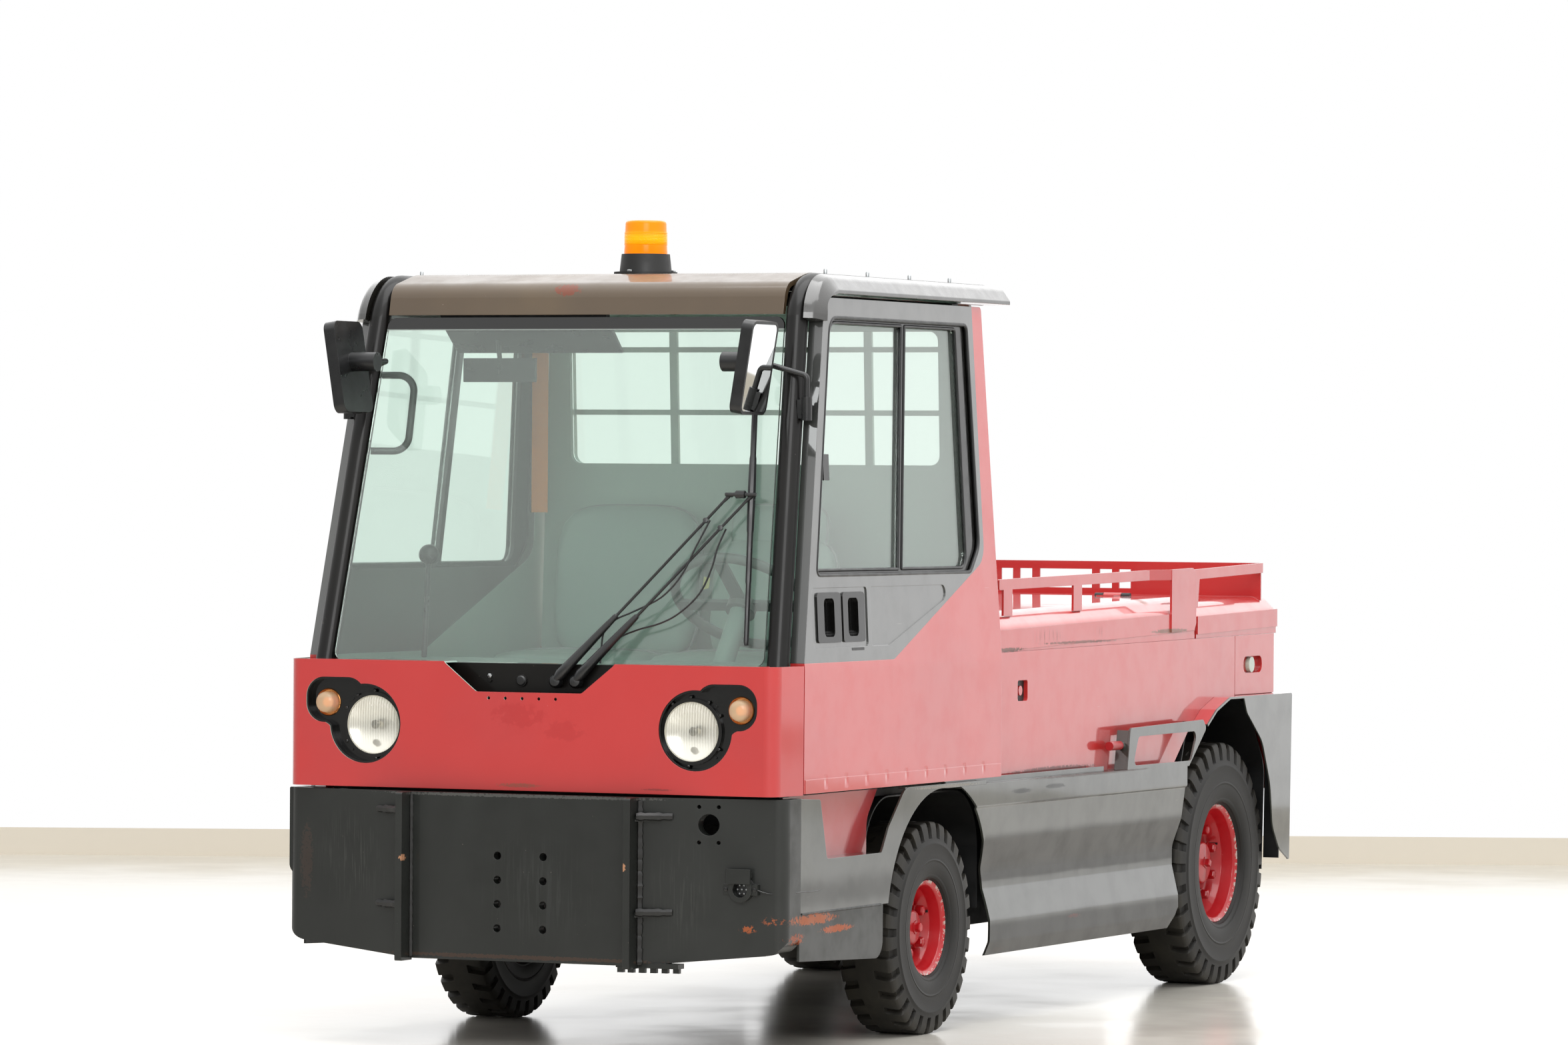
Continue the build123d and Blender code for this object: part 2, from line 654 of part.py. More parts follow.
# Front panel: red pressing above the bumper, wrapped round to the doors
front_panel_top = 950.0
panel_draft = 17.0
notch_half_top = 227.0
notch_half_bottom = 143.0
notch_bottom = 877.0
stud_z = 862.0
stud_pitch = 45.5
lamp = (433.0, 790.0)
lamp_radius = 72.0
indicator = (562.0, 843.0)
indicator_radius = 34.0


def bezel_face(grow):
    """Front view of the lamp opening: a round bay and an oblong bay, blended together."""
    x, z = lamp
    round_bay = Pos(x + 16, z + 3) * Circle(98 + grow)
    oblong = Pos(x + 98, z + 60) * RectangleRounded(164 + 2 * grow, 112 + 2 * grow, 48 + grow)
    blend = Pos(x + 114, z - 12) * Rectangle(52, 40) - Pos(x + 140, z - 31) * Circle(37 - grow)
    return round_bay + oblong + blend


def front_panel():
    rear = door_front - shut_line
    half = [
        (0, panel_y, 0), (door_half - panel_draft, panel_y, 34), (door_half, rear, 0), (door_half - sheet, rear, 0),
        (door_half - panel_draft - sheet, panel_y + sheet, 30), (0, panel_y + sheet, 0),
    ]
    skin = both(along_z(half, panel_bottom, front_panel_top))
    lip = both(along_z([
        (0, panel_y + 1, 0), (door_half - panel_draft, panel_y + 1, 34), (door_half - 12, rear - 66, 0),
        (0, cowl_wall_y + 14, 0),
    ], screen_foot[1], front_panel_top))
    lip = lip & block((-pillar_x + 2, pillar_x - 2), (panel_y, cowl_wall_y + 14), (900, 1000))
    notch = along_y(mirror_rows([
        (notch_half_bottom, notch_bottom, 14), (notch_half_top, front_panel_top - 6, 24),
        (notch_half_top + 14, front_panel_top + 10, 0),
    ]), panel_y - 20, panel_y + 100)
    skin = skin + lip - notch
    opening = extrude(Plane.XZ.offset(-(panel_y + 30)) * bezel_face(0), 60)
    skin = skin - opening - mirrored(opening)
    for i in range(5):
        skin = skin - disc_y(-109 + i * stud_pitch, panel_y - 10, panel_y + 20, stud_z, 4)
    return skin


nodes["front_panel"] = front_panel()

# Lamp bays, headlamps and indicators
bay_y = panel_y + 22


def lamp_bay():
    x, z = lamp
    ix, iz = indicator
    back = cowl_wall_y - seat_gap
    shape = extrude(Plane.XZ.offset(-back) * bezel_face(-seat_gap), back - bay_y)
    rim_wall = extrude(Plane.XZ.offset(-back) * bezel_face(-seat_gap), back - panel_y - 2)
    rim_wall = rim_wall - extrude(Plane.XZ.offset(-(panel_y + 60)) * bezel_face(-4), 70)
    ring = disc_y(x, bay_y - 9, bay_y + 2, z, lamp_radius + 9)
    shape = shape + rim_wall + ring
    shape = shape - disc_y(x, panel_y - 10, panel_y + 44, z, lamp_radius + seat_gap)
    shape = shape - disc_y(ix, panel_y - 10, panel_y + 44, iz, indicator_radius + seat_gap)
    for i in range(4):
        angle = radians(45 + 90 * i)
        shape = shape + disc_y(x + 87 * cos(angle), bay_y - 4, bay_y + 2, z + 87 * sin(angle), 4)
    return shape


nodes["lamp_bezels"] = pair(lamp_bay())
lens = disc_y(lamp[0], bay_y - 3, panel_y + 44 - seat_gap, lamp[1], lamp_radius)
lens = lens + Pos(lamp[0], bay_y - 5, lamp[1]) * Rot(90, 0, 0) * Cone(lamp_radius - 4, lamp_radius - 22, 8)
nodes["headlamps"] = pair(lens)
signal = disc_y(indicator[0], bay_y + 8, panel_y + 44 - seat_gap, indicator[1], indicator_radius)
signal = signal + Pos(indicator[0], bay_y + 2, indicator[1]) * Rot(90, 0, 0) * Cone(indicator_radius - 7, 15, 12)
nodes["indicators"] = pair(signal)

# Front wings: grey side plates with the step notch and the bar over the arch
arch_radius = 355.0
bar_top = 634.0
bar_bottom = 623.0
step_z = 478.0
wing_front = bumper_y + bumper_flank + seat_gap


def wing():
    rows = [
        (wing_front, flank_seam + seat_gap, 0), (wing_front, 629, 0), (aft(-763), 624, 10), (aft(-722), step_z, 12),
        (aft(-388), step_z, 14), (aft(-345), 539, 40), (aft(-239), bar_top, 60), (aft(279), bar_top, 0),
        (aft(279), bar_bottom, 0), (aft(0), bar_bottom, 0), (aft(0), flank_seam + seat_gap, 0),
    ]
    skin = along_x(rows, door_half - plate, door_half)
    skin = skin - disc_x(500, 800, front_axle_y, front_tyre_radius, arch_radius)
    tread = block((door_half - 52, door_half - 2), (aft(-724), aft(-386)), (step_z - 6, step_z))
    lip = block((door_half - 20, door_half - 2), (aft(-239), aft(279)), (bar_top - 4, bar_top))
    return skin + tread + lip


nodes["front_wings"] = pair(wing())

# Lower panels: red plates set in behind the step notches
lower_x = 625.0


def lower_panel():
    skin = along_x([
        (wing_front + 6, 360, 0), (wing_front + 6, panel_bottom - shut_line, 0), (aft(-300), 632, 0),
        (aft(-366), 560, 60), (aft(-366), 360, 0),
    ], lower_x - sheet, lower_x)
    band = block((lower_x, door_half - plate - seat_gap), (wing_front + 6, wing_front + 12), (360, 620))
    return skin + band


nodes["lower_panels"] = pair(lower_panel())

# Wheel liners: bent black sheet over each wheel
front_well_top = floor_top - 18 - seat_gap
rear_well_gap = 48.0


def front_well():
    reach = steering_sweep + 6
    rows = [
        (front_axle_y - reach, 300, 0), (front_axle_y - reach, front_well_top, 150),
        (front_axle_y + reach, front_well_top, 150), (front_axle_y + reach, 300, 0),
        (front_axle_y + reach + sheet, 300, 0), (front_axle_y + reach + sheet, front_well_top + sheet, 154),
        (front_axle_y - reach - sheet, front_well_top + sheet, 154), (front_axle_y - reach - sheet, 300, 0),
    ]
    rows = [(a, b - sheet if b > 400 else b, r) for a, b, r in rows]
    arch = along_x(rows, 320, 618)
    wall = along_x([
        (front_axle_y - reach, 345, 0), (front_axle_y - reach, front_well_top - 1, 151),
        (front_axle_y + reach, front_well_top - 1, 151), (front_axle_y + reach, 345, 0),
    ], 316, 321)
    return arch + wall


def rear_well():
    top = 792.0
    reach = rear_tyre_radius + rear_well_gap
    rows = [
        (aft(1720), 420, 0), (aft(1836), 706, 60), (aft(2030), top, 60), (aft(2300), top, 150),
        (rear_axle_y + reach, 600, 100), (rear_axle_y + reach - 16, 303, 0),
        (rear_axle_y + reach - 12, 303, 0), (rear_axle_y + reach + sheet, 600, 104), (aft(2302), top + sheet, 154),
        (aft(2028), top + sheet, 64), (aft(1832), 708, 64), (aft(1716), 422, 0),
    ]
    arch = along_x(rows, 440, deck_half - sheet - seat_gap)
    wall = along_x([
        (aft(1722), 430, 0), (aft(1836), 708, 60), (aft(2030), top + 1, 60), (aft(2300), top + 1, 150),
        (rear_axle_y + reach, 600, 100), (rear_axle_y + reach - 10, 430, 0),
    ], 436, 441)
    return arch + wall


nodes["wheel_wells"] = Compound(children=[*pair(front_well()).solids(), *pair(rear_well()).solids()])

# Deck sides: the seam under the lids climbs gently towards the rear
deck_slope = 0.0084
seam_level = 955.0


def seam_z(y):
    """Level of the seam between the deck sides and the lids at y."""
    return seam_level + (y - door_rear) * deck_slope


arch_rows = [
    (aft(1730), 600, 0), (aft(1730), sill_level - 2, 0), (aft(1846), 716, 20), (aft(2035), 797, 60),
    (aft(2600), 797, 0), (aft(2600), 600, 0),
]
side_front = door_rear - 40
corner_y = aft(2204)
corner_z = 804.0
marker = (aft(2346), 887.0)
marker_radius = 22.0


def body_side():
    rows = [
        (side_front, sill_level, 0), (side_front, seam_z(side_front), 0), (rear_body_y, seam_z(rear_body_y), 0),
        (rear_body_y, sill_level, 0),
    ]
    skin = along_x(rows, deck_half - sheet, deck_half) - along_x(arch_rows, 500, 700)
    corner = along_x([
        (corner_y - 1.5, corner_z - 1.5, 0), (corner_y - 1.5, 1000, 0), (rear_body_y + 5, 1000, 0),
        (rear_body_y + 5, corner_z - 1.5, 0),
    ], 500, 700)
    latch = along_x([
        (aft(605), 827, 8), (aft(605), 881, 8), (aft(673), 881, 8), (aft(673), 827, 8),
    ], 500, 700)
    tray = along_x([
        (aft(599), 821, 8), (aft(599), 887, 8), (aft(679), 887, 8), (aft(679), 821, 8),
    ], deck_half - 22, deck_half - 1)
    tray = tray - along_x([
        (aft(605), 827, 8), (aft(605), 881, 8), (aft(673), 881, 8), (aft(673), 827, 8),
    ], deck_half - 18, deck_half + 5)
    bolt = disc_x(deck_half - 20, deck_half - 6, aft(639), 854, 13)
    return (skin - corner - latch) + tray + bolt


nodes["body_sides"] = pair(body_side())


def corner_panel():
    rows = [
        (corner_y + 1.5, corner_z, 4), (corner_y + 1.5, seam_z(corner_y), 0), (rear_body_y, seam_z(rear_body_y), 0),
        (rear_body_y, corner_z, 4),
    ]
    skin = along_x(rows, deck_half - sheet, deck_half)
    bay = along_x([
        (aft(2272), 864, 22), (aft(2272), 911, 22), (aft(2421), 911, 22), (aft(2421), 864, 22),
    ], 500, 700)
    tray = along_x([
        (aft(2264), 856, 24), (aft(2264), 919, 24), (aft(2429), 919, 24), (aft(2429), 856, 24),
    ], deck_half - 18, deck_half - sheet)
    tray = tray - along_x([
        (aft(2268), 860, 22), (aft(2268), 915, 22), (aft(2425), 915, 22), (aft(2425), 860, 22),
    ], deck_half - 14, deck_half)
    return (skin - bay) + tray


nodes["corner_panels"] = pair(corner_panel())
nodes["marker_lamps"] = pair(disc_x(deck_half - 14 + seat_gap, deck_half - 2, marker[0], marker[1], marker_radius))

# Rear panel with the hinge pins of the rear lid, and its tail lamps
rear_hinge = (rear_end_y - 13, 966.0)
hinge_pin_radius = 4.0
hinge_barrel_radius = 8.0
rear_hinge_x = 340.0
hinge_half = 26.0
tail_x = 520.0
tail_z = 720.0


def rear_panel():
    half = deck_half - sheet - seat_gap
    skin = block((-half, half), (rear_body_y - sheet, rear_body_y), (530, rear_hinge[1] - 11))
    for side in (-1, 1):
        for x in (rear_hinge_x - hinge_half - 14, rear_hinge_x + hinge_half + 14):
            middle = side * x
            knuckle = disc_x(middle - 12, middle + 12, rear_hinge[0], rear_hinge[1], hinge_barrel_radius)
            leaf = block((middle - 12, middle + 12), (rear_body_y - 1, rear_body_y + 5), (900, rear_hinge[1] + 2))
            skin = skin + knuckle + leaf
        middle = side * rear_hinge_x
        skin = skin + disc_x(middle - 50, middle + 50, rear_hinge[0], rear_hinge[1], hinge_pin_radius)
    return skin


nodes["rear_panel"] = rear_panel()
tail = block((tail_x - 55, tail_x + 55), (rear_body_y + seat_gap, rear_body_y + 28), (tail_z - 60, tail_z + 60))
nodes["tail_lamps"] = pair(fillet(tail.edges().filter_by(Axis.Y), 12))

# Skirts below the doors: bellied sill plates with a ledge, the door rail and the loop bracket
skirt_gauge = 6.0
skirt_front = aft(60)
skirt_rear = aft(1712)
ledge_top = sill_level - seat_gap
rail = (646.0, 654.0)
loop_front = aft(1264)
loop_rake = 22.0
loop_flange_x = 638.0
buffer_x = 654.0
buffer_run = (aft(1188), aft(1262))


def skirt_section(depth):
    """Belly of the sill plate, from the top down, set in by depth."""
    x = door_half - depth
    return [
        (x, ledge_top, 0), (x, 568, 4), (x - 6, 562, 4), (x - 17, 478, 40), (x - 44, 402, 70), (x - 44, 350, 14),
        (x - 25, 268, 26), (x - 24, 213, 24), (x - 36, 178, 0),
    ]


def skirt():
    outer = skirt_section(0)
    inner = [(a, b, r) for a, b, r in reversed(skirt_section(skirt_gauge))]
    inner[0] = (inner[0][0], 178, 0)
    belly = along_y(outer + inner, skirt_front, skirt_rear)
    ledge = block((floor_half + 2, door_half - 2), (aft(284), skirt_rear), (ledge_top - 5, ledge_top))
    front_ledge = block((floor_half + 2, door_half - plate - seat_gap), (skirt_front, aft(284)), (bar_bottom - 6, ledge_top))
    track = block(rail, (skirt_front, aft(1150)), (ledge_top - 3, door_bottom - seat_gap))
    shape = belly + ledge + front_ledge + track
    shape = shape - disc_x(640, 800, front_axle_y, front_tyre_radius, 372)
    shape = shape - block((door_half - plate - seat_gap, 700), (skirt_front - 5, aft(279) + 1), (bar_bottom - seat_gap, 700))
    shape = shape - disc_x(500, 640, front_axle_y, front_tyre_radius, 372)
    # Rear end: rounded foot and a half-round cut
    corner = along_x([
        (skirt_rear - 60, 170, 0), (skirt_rear, 240, 60), (skirt_rear + 10, 240, 0), (skirt_rear + 10, 170, 0),
    ], 500, 700)
    shape = shape - corner
    end_flange = along_y([
        (door_half - 7, 560, 0), (door_half - 17, 478, 0), (door_half - 44, 402, 0), (door_half - 44, 350, 0),
        (door_half - 25, 268, 0), (door_half - 25, 245, 0), (door_half - 64, 245, 0), (door_half - 84, 402, 0),
        (door_half - 60, 560, 0),
    ], skirt_rear - 6, skirt_rear)
    shape = shape + end_flange
    loop = along_x([
        (loop_front, ledge_top - 4, 0), (loop_front + loop_rake, 738, 14), (aft(1832), 746, 16),
        (aft(1858), 722, 12), (aft(1726), ledge_top - 4, 0),
    ], door_half - plate, door_half)
    gap = along_x([
        (loop_front + 42, 636, 16), (loop_front + 82, 714, 16), (aft(1790), 716, 18), (aft(1742), 636, 22),
    ], 500, 700)
    shape = shape + (loop - gap)
    flange = along_x([
        (loop_front, ledge_top - 4, 0), (loop_front + loop_rake, 732, 0), (loop_front + loop_rake + plate, 732, 0),
        (loop_front + plate, ledge_top - 4, 0),
    ], loop_flange_x, door_half - 2)
    rear_tie = block((deck_half + seat_gap, door_half - 2), (aft(1800), aft(1806)), (716, 742))
    shape = shape + flange + rear_tie
    stud = bar((buffer_x, loop_front + loop_rake, 692), (buffer_x, buffer_run[1], 692), 8)
    return shape + stud


nodes["skirts"] = pair(skirt())
nodes["door_buffers"] = pair(bar((buffer_x, buffer_run[1] - seat_gap, 692), (buffer_x, buffer_run[0], 692), 12))

# Rear mudguards: flat flange over the arch and the sickle plate behind the tyre
guard_rows = [
    (aft(1868), 732, 0), (aft(1938), 771, 40), (aft(2043), 803, 50), (rear_end_y, 803, 8), (rear_end_y, 797, 0),
    (aft(2044), 797, 50), (aft(1941), 766, 40), (aft(1870), 726, 0),
]
sickle_rows = [
    (aft(2150), 800, 0), (aft(2176), 756, 40), (aft(2300), 672, 110), (aft(2366), 548, 160), (aft(2386), 428, 70),
    (aft(2440), 364, 50), (aft(2506), 334, 0), (aft(2522), 326, 5), (rear_end_y - 12, 430, 40), (rear_end_y, 802, 8),
]
# Return plate behind the tyre, from the flange down to the foot of the sickle plate
return_y = rear_axle_y + rear_tyre_radius + rear_well_gap
return_rows = [
    (aft(2250), 797, 0), (return_y, 797, 120), (return_y - 14, 336, 0), (return_y - 10, 336, 0),
    (return_y + sheet, 801, 124), (aft(2250), 801, 0),
]
rear_guard = along_x(guard_rows, deck_half + seat_gap, door_half) + along_x(sickle_rows, door_half - 5, door_half)
rear_guard = rear_guard + along_x(return_rows, deck_half + seat_gap, door_half - 2)
rear_tie = block((deck_half + seat_gap, door_half - 2), (rear_end_y - 30, rear_end_y - 25), (700, 800))
nodes["rear_mudguards"] = pair(rear_guard + rear_tie)

# Chassis: two side members, cross members, the battery tray and the lid beam
member_inner = 240.0
member_outer = 300.0
member_z = (400.0, 500.0)
tray_half = 560.0
tray_y = (aft(440), aft(1560))
tray_gauge = 12.0
battery_half = 415.0
split_top = 1050.0
hinge_level = 1084.0
hitch_plate = 30.0
lid_hinge_x = 380.0


def chassis_frame():
    run = (bumper_y + bumper_plate, rear_body_y - sheet - seat_gap)
    side = block((member_inner, member_outer), run, member_z)
    solid = both(side)
    hitch_member_y = rear_body_y - hitch_plate - seat_gap - 60
    for y in (aft(-900), aft(-480), aft(430), aft(1560), hitch_member_y):
        solid = solid + block((-member_outer, member_outer), (y, y + 60), (410, 490))
    for y in (tray_y[0], tray_y[1] - tray_gauge):
        solid = solid + block((-tray_half, tray_half), (y, y + tray_gauge), (250, 610))
    solid = solid + block((-tray_half, tray_half), tray_y, (250, 250 + tray_gauge))
    solid = solid + both(block((tray_half - tray_gauge, tray_half), tray_y, (250, 610)))
    # Outriggers reach the skirts and carry the wings
    for y in (aft(480), aft(1000), aft(1500)):
        solid = solid + both(block((tray_half - 2, floor_half + 2), (y, y + 40), (560, 610)))
        solid = solid + both(block((floor_half - 2, door_half - 12), (y, y + 40), (596, ledge_top - 5 - seat_gap)))
    beam_top = floor_top - 18 - seat_gap
    solid = solid + block((-tray_half, tray_half), (aft(-857), aft(-800)), (560, beam_top))
    solid = solid + both(block((member_inner, member_outer), (aft(-857), aft(-800)), (490, 570)))
    solid = solid + both(block((tray_half - 4, lower_x - sheet - seat_gap), (aft(-857), aft(-800)), (570, beam_top)))
    solid = solid + block((-tray_half, tray_half), (tray_y[0] - 60, tray_y[0] + tray_gauge), (560, beam_top))
    beam = block((-tray_half, tray_half), (lid_split_y - 3, lid_split_y + 3), (700, split_top))
    beam = beam + block((-member_outer, member_outer), (lid_split_y - 3, lid_split_y + 3), (560, 710))
    beam = beam + both(block((430, tray_half), (lid_split_y - 3, lid_split_y + 3), (800, split_top)))
    solid = solid + beam - both(block((432, 700), (lid_split_y - 10, lid_split_y + 10), (500, 800)))
    solid = solid + both(block((member_inner, member_outer), (lid_split_y - 30, lid_split_y + 30), (490, 570)))
    solid = solid + both(block((tray_half - 2, deck_half - sheet - seat_gap), (lid_split_y - 3, lid_split_y + 3), (800, 950)))
    # Fixed knuckles and pins of the front lid
    for side in (-1, 1):
        for offset in (-hinge_half - 14, hinge_half + 14):
            x = side * lid_hinge_x + offset
            solid = solid + block((x - 12, x + 12), (lid_split_y - 3, lid_split_y + 3), (split_top - 10, hinge_level))
            solid = solid + disc_x(x - 12, x + 12, lid_split_y, hinge_level, hinge_barrel_radius)
        x = side * lid_hinge_x
        solid = solid + disc_x(x - 50, x + 50, lid_split_y, hinge_level, hinge_pin_radius)
    return solid


battery_y = (tray_y[0] + 30, tray_y[1] - 60)
battery_room = block((-battery_half - seat_gap, battery_half + seat_gap),
                     (battery_y[0] - seat_gap, battery_y[1] + seat_gap), (250 + tray_gauge, 950))
nodes["chassis_frame"] = chassis_frame() - battery_room
nodes["battery"] = block((-battery_half, battery_half), battery_y, (250 + tray_gauge + seat_gap, 930))

# Deck lids with their load rails; each top climbs a little more steeply than the seam below it
lid_half_gap = 6.0
lid_half = deck_half - 2
front_lid_tops = (1058.0, 1084.0)
rear_lid_tops = (1066.0, 1078.0)
rail_x = 597.0
rail_gauge = 6.0


def lid_section(top, grow):
    """Half cross-section of a lid: upright side with a rounded shoulder."""
    half = lid_half - grow
    return [(half, top - 150 - 2 * grow, 0), (half, top - 42 - grow / 2, 34), (half - 44, top - grow, 46)]


def lid(y0, y1, tops):
    """Pressed lid, open below, cut to rest on the seam of the deck sides."""
    tilt = degrees(atan2(tops[1] - tops[0], y1 - y0))
    shell = along_y(mirror_rows(lid_section(tops[0], 0)), y0, y1)
    shell = shell - along_y(mirror_rows(lid_section(tops[0], sheet)), y0 + sheet, y1 - sheet)
    shell = Pos(0, y0, tops[0]) * Rot(tilt, 0, 0) * Pos(0, -y0, -tops[0]) * shell
    below = along_x([
        (y0 - 50, 800, 0), (y0 - 50, seam_z(y0 - 50) + seat_gap, 0), (y1 + 50, seam_z(y1 + 50) + seat_gap, 0),
        (y1 + 50, 800, 0),
    ], -700, 700)
    return shell - below


def front_rail():
    """Load rail: flat bar on broad legs, stepped outwards to the post at the rear."""
    side = along_x([
        (aft(536), 1117, 6), (aft(536), 1145, 6), (aft(1612), 1160, 0), (aft(1612), 1132, 0),
    ], rail_x, rail_x + rail_gauge)
    for y, low in ((566, 1050), (1052, 1056)):
        side = side + along_x([
            (aft(y), low, 0), (aft(y), 1126, 0), (aft(y + 60), 1126, 0), (aft(y + 60), low, 0),
        ], rail_x, rail_x + rail_gauge)
    jog = along_z([
        (rail_x, aft(1606), 0), (rail_x + rail_gauge, aft(1606), 0), (lid_half + rail_gauge, aft(1706), 0),
        (lid_half, aft(1712), 0),
    ], 1132, 1161)
    post = along_x([
        (aft(1702), 1000, 0), (aft(1702), 1161, 0), (aft(1866), 1164, 8), (aft(1889), 1138, 20),
        (aft(1889), 1012, 8), (aft(1876), 992, 6), (aft(1702), 988, 0),
    ], lid_half, lid_half + rail_gauge)
    strip = along_x([
        (door_rear + 8, 957, 2), (door_rear + 8, 1012, 2), (aft(1889), 1042, 2), (aft(1889), 990, 2),
    ], lid_half, lid_half + 2)
    return side + jog + post + strip


def rear_rail():
    side = along_x([
        (aft(1924), 1130, 6), (aft(1924), 1158, 6), (aft(2492), 1173, 0), (aft(2492), 1145, 0),
    ], rail_x, rail_x + rail_gauge)
    leg = along_x([
        (aft(1934), 1054, 0), (aft(1928), 1140, 0), (aft(1990), 1140, 0), (aft(1976), 1054, 0),
    ], rail_x, rail_x + rail_gauge)
    strip = along_x([
        (aft(1904), 979, 2), (aft(1904), 1030, 2), (rear_end_y - 2, 1042, 2), (rear_end_y - 2, 992, 2),
    ], lid_half, lid_half + 5)
    return side + leg + strip


front_lid = lid(door_rear + 8, lid_split_y - lid_half_gap, front_lid_tops) + both(front_rail())
for side in (-1, 1):
    x = side * lid_hinge_x
    for offset in (-hinge_half - 14, hinge_half + 14):
        front_lid = front_lid - block((x + offset - 15, x + offset + 15), (lid_split_y - 14, lid_split_y),
                                      (hinge_level - 16, hinge_level + 12))
    barrel = disc_x(x - hinge_half, x + hinge_half, lid_split_y, hinge_level, hinge_barrel_radius)
    strap = block((x - hinge_half, x + hinge_half), (lid_split_y - 60, lid_split_y - 2), (hinge_level - 7, hinge_level + 2))
    front_lid = front_lid + barrel + strap
    front_lid = front_lid - disc_x(x - 60, x + 60, lid_split_y, hinge_level, hinge_pin_radius + shaft_gap)
nodes["front_lid"] = front_lid

rear_lid = lid(lid_split_y + lid_half_gap, rear_end_y - 2, rear_lid_tops) + both(rear_rail())
for side in (-1, 1):
    x = side * rear_hinge_x
    rear_lid = rear_lid - block((x - 62, x + 62), (rear_hinge[0] - 16, rear_end_y + 4), (rear_hinge[1] - 20, rear_hinge[1] + 14))
    barrel = disc_x(x - hinge_half, x + hinge_half, rear_hinge[0], rear_hinge[1], hinge_barrel_radius)
    strap = block((x - hinge_half, x + hinge_half), (rear_hinge[0] + 1, rear_end_y - 2), (rear_hinge[1] - 2, rear_hinge[1] + 40))
    rear_lid = rear_lid + barrel + strap
    rear_lid = rear_lid - disc_x(x - 60, x + 60, rear_hinge[0], rear_hinge[1], hinge_pin_radius + shaft_gap)
cross = block((-rail_x - 2, rail_x + 2), (aft(2484), aft(2490)), (1066, 1173))
for centre, width in ((0, 162), (124, 38), (-124, 38), (183, 36), (-183, 36)):
    cross = cross - block((centre - width / 2, centre + width / 2), (aft(2480), aft(2495)), (1096, 1150))
nodes["rear_lid"] = rear_lid + cross

# Tow coupling
coupling_z = (330.0, 450.0)
jaw_gap = (360.0, 420.0)
tow_pin_radius = 14.0
tow_pin_y = coupling_y - 45
jaw = block((-70, 70), (rear_body_y - sheet, coupling_y), coupling_z)
jaw = jaw - block((-80, 80), (tow_pin_y - 50, coupling_y + 5), jaw_gap)
jaw = jaw + block((-150, 150), (rear_body_y - hitch_plate, rear_body_y - sheet), (320, 520))
nodes["tow_coupling"] = jaw - disc_z(0, tow_pin_y, 250, 550, tow_pin_radius + shaft_gap)
nodes["tow_pin"] = disc_z(0, tow_pin_y, coupling_z[0], 451 + seat_gap, tow_pin_radius) + disc_z(
    0, tow_pin_y, coupling_z[1] + seat_gap, 481, 24)

# Front axle with its springs, forks and kingpins
beam_half = 395.0
beam_z = (235.0, 303.0)
spring_z = (303.0, 333.0)
spring_half = 330.0


def front_axle():
    solid = block((-beam_half, beam_half), (aft(-35), aft(35)), beam_z)
    spring_x = (member_inner + 5, member_outer - 5)
    spring = block(spring_x, (front_axle_y - spring_half, front_axle_y + spring_half), spring_z)
    hangers = block(spring_x, (front_axle_y - spring_half, front_axle_y - spring_half + 40),
                    (spring_z[1], member_z[0] - seat_gap))
    hangers = hangers + Pos(0, 2 * spring_half - 40, 0) * hangers
    fork = block((370, kingpin_x + 24), (aft(-24), aft(24)), (338, 352))
    fork = fork + block((370, kingpin_x + 24), (aft(-24), aft(24)), (186, 200))
    fork = fork + block((370, 395), (aft(-30), aft(30)), (186, 352))
    fork = fork + disc_z(kingpin_x, front_axle_y, 186, 352, kingpin_radius)
    return solid + both(spring + hangers + fork)


nodes["front_axle"] = front_axle()


def knuckle():
    post = disc_z(kingpin_x, front_axle_y, 200 + seat_gap, 338 - seat_gap, 28)
    spindle = disc_x(kingpin_x, front_track_half + 18, front_axle_y, front_tyre_radius, front_spindle_radius)
    bore = disc_z(kingpin_x, front_axle_y, 150, 400, kingpin_radius + shaft_gap)
    return post + spindle - bore


nodes["knuckle_left"] = knuckle()
nodes["knuckle_right"] = mirrored(knuckle())

# Drive axle: axle tube, gearbox and motor as one plain housing
spindle = disc_x(-rear_track_half - 20, rear_track_half + 20, rear_axle_y, rear_tyre_radius, rear_spindle_radius)
pad = block((member_inner, member_outer), (rear_axle_y - 60, rear_axle_y + 60), (330, member_z[0] - seat_gap))
nodes["drive_axle"] = spindle + both(pad) + block(
    (-225, 225), (rear_axle_y - 180, rear_axle_y + 180), (200, 520))

# Wheels
lug_count = 22
lug_gap = 18.0
lug_depth = 13.0


def tyre(x, y, radius, width, rim_radius):
    half = width / 2
    rows = [
        (x - half * 0.62, rim_radius, 0), (x - half, rim_radius + 24, 14), (x - half, radius - 42, 24),
        (x - half * 0.84, radius, 12), (x + half * 0.84, radius, 12), (x + half, radius - 42, 24),
        (x + half, rim_radius + 24, 14), (x + half * 0.62, rim_radius, 0),
    ]
    body = turned(rows, y, radius)
    cuts = []
    for i in range(lug_count):
        for edge in (-1, 1):
            angle = 360 / lug_count * (i + (0.25 if edge > 0 else -0.25))
            groove = Pos(x + edge * half * 0.72, 0, 0) * Rot(angle, 0, 0) * Pos(0, 0, radius) * Box(
                half * 0.7, lug_gap, 2 * lug_depth)
            cuts.append(Pos(0, y, radius) * groove)
    return body - cuts


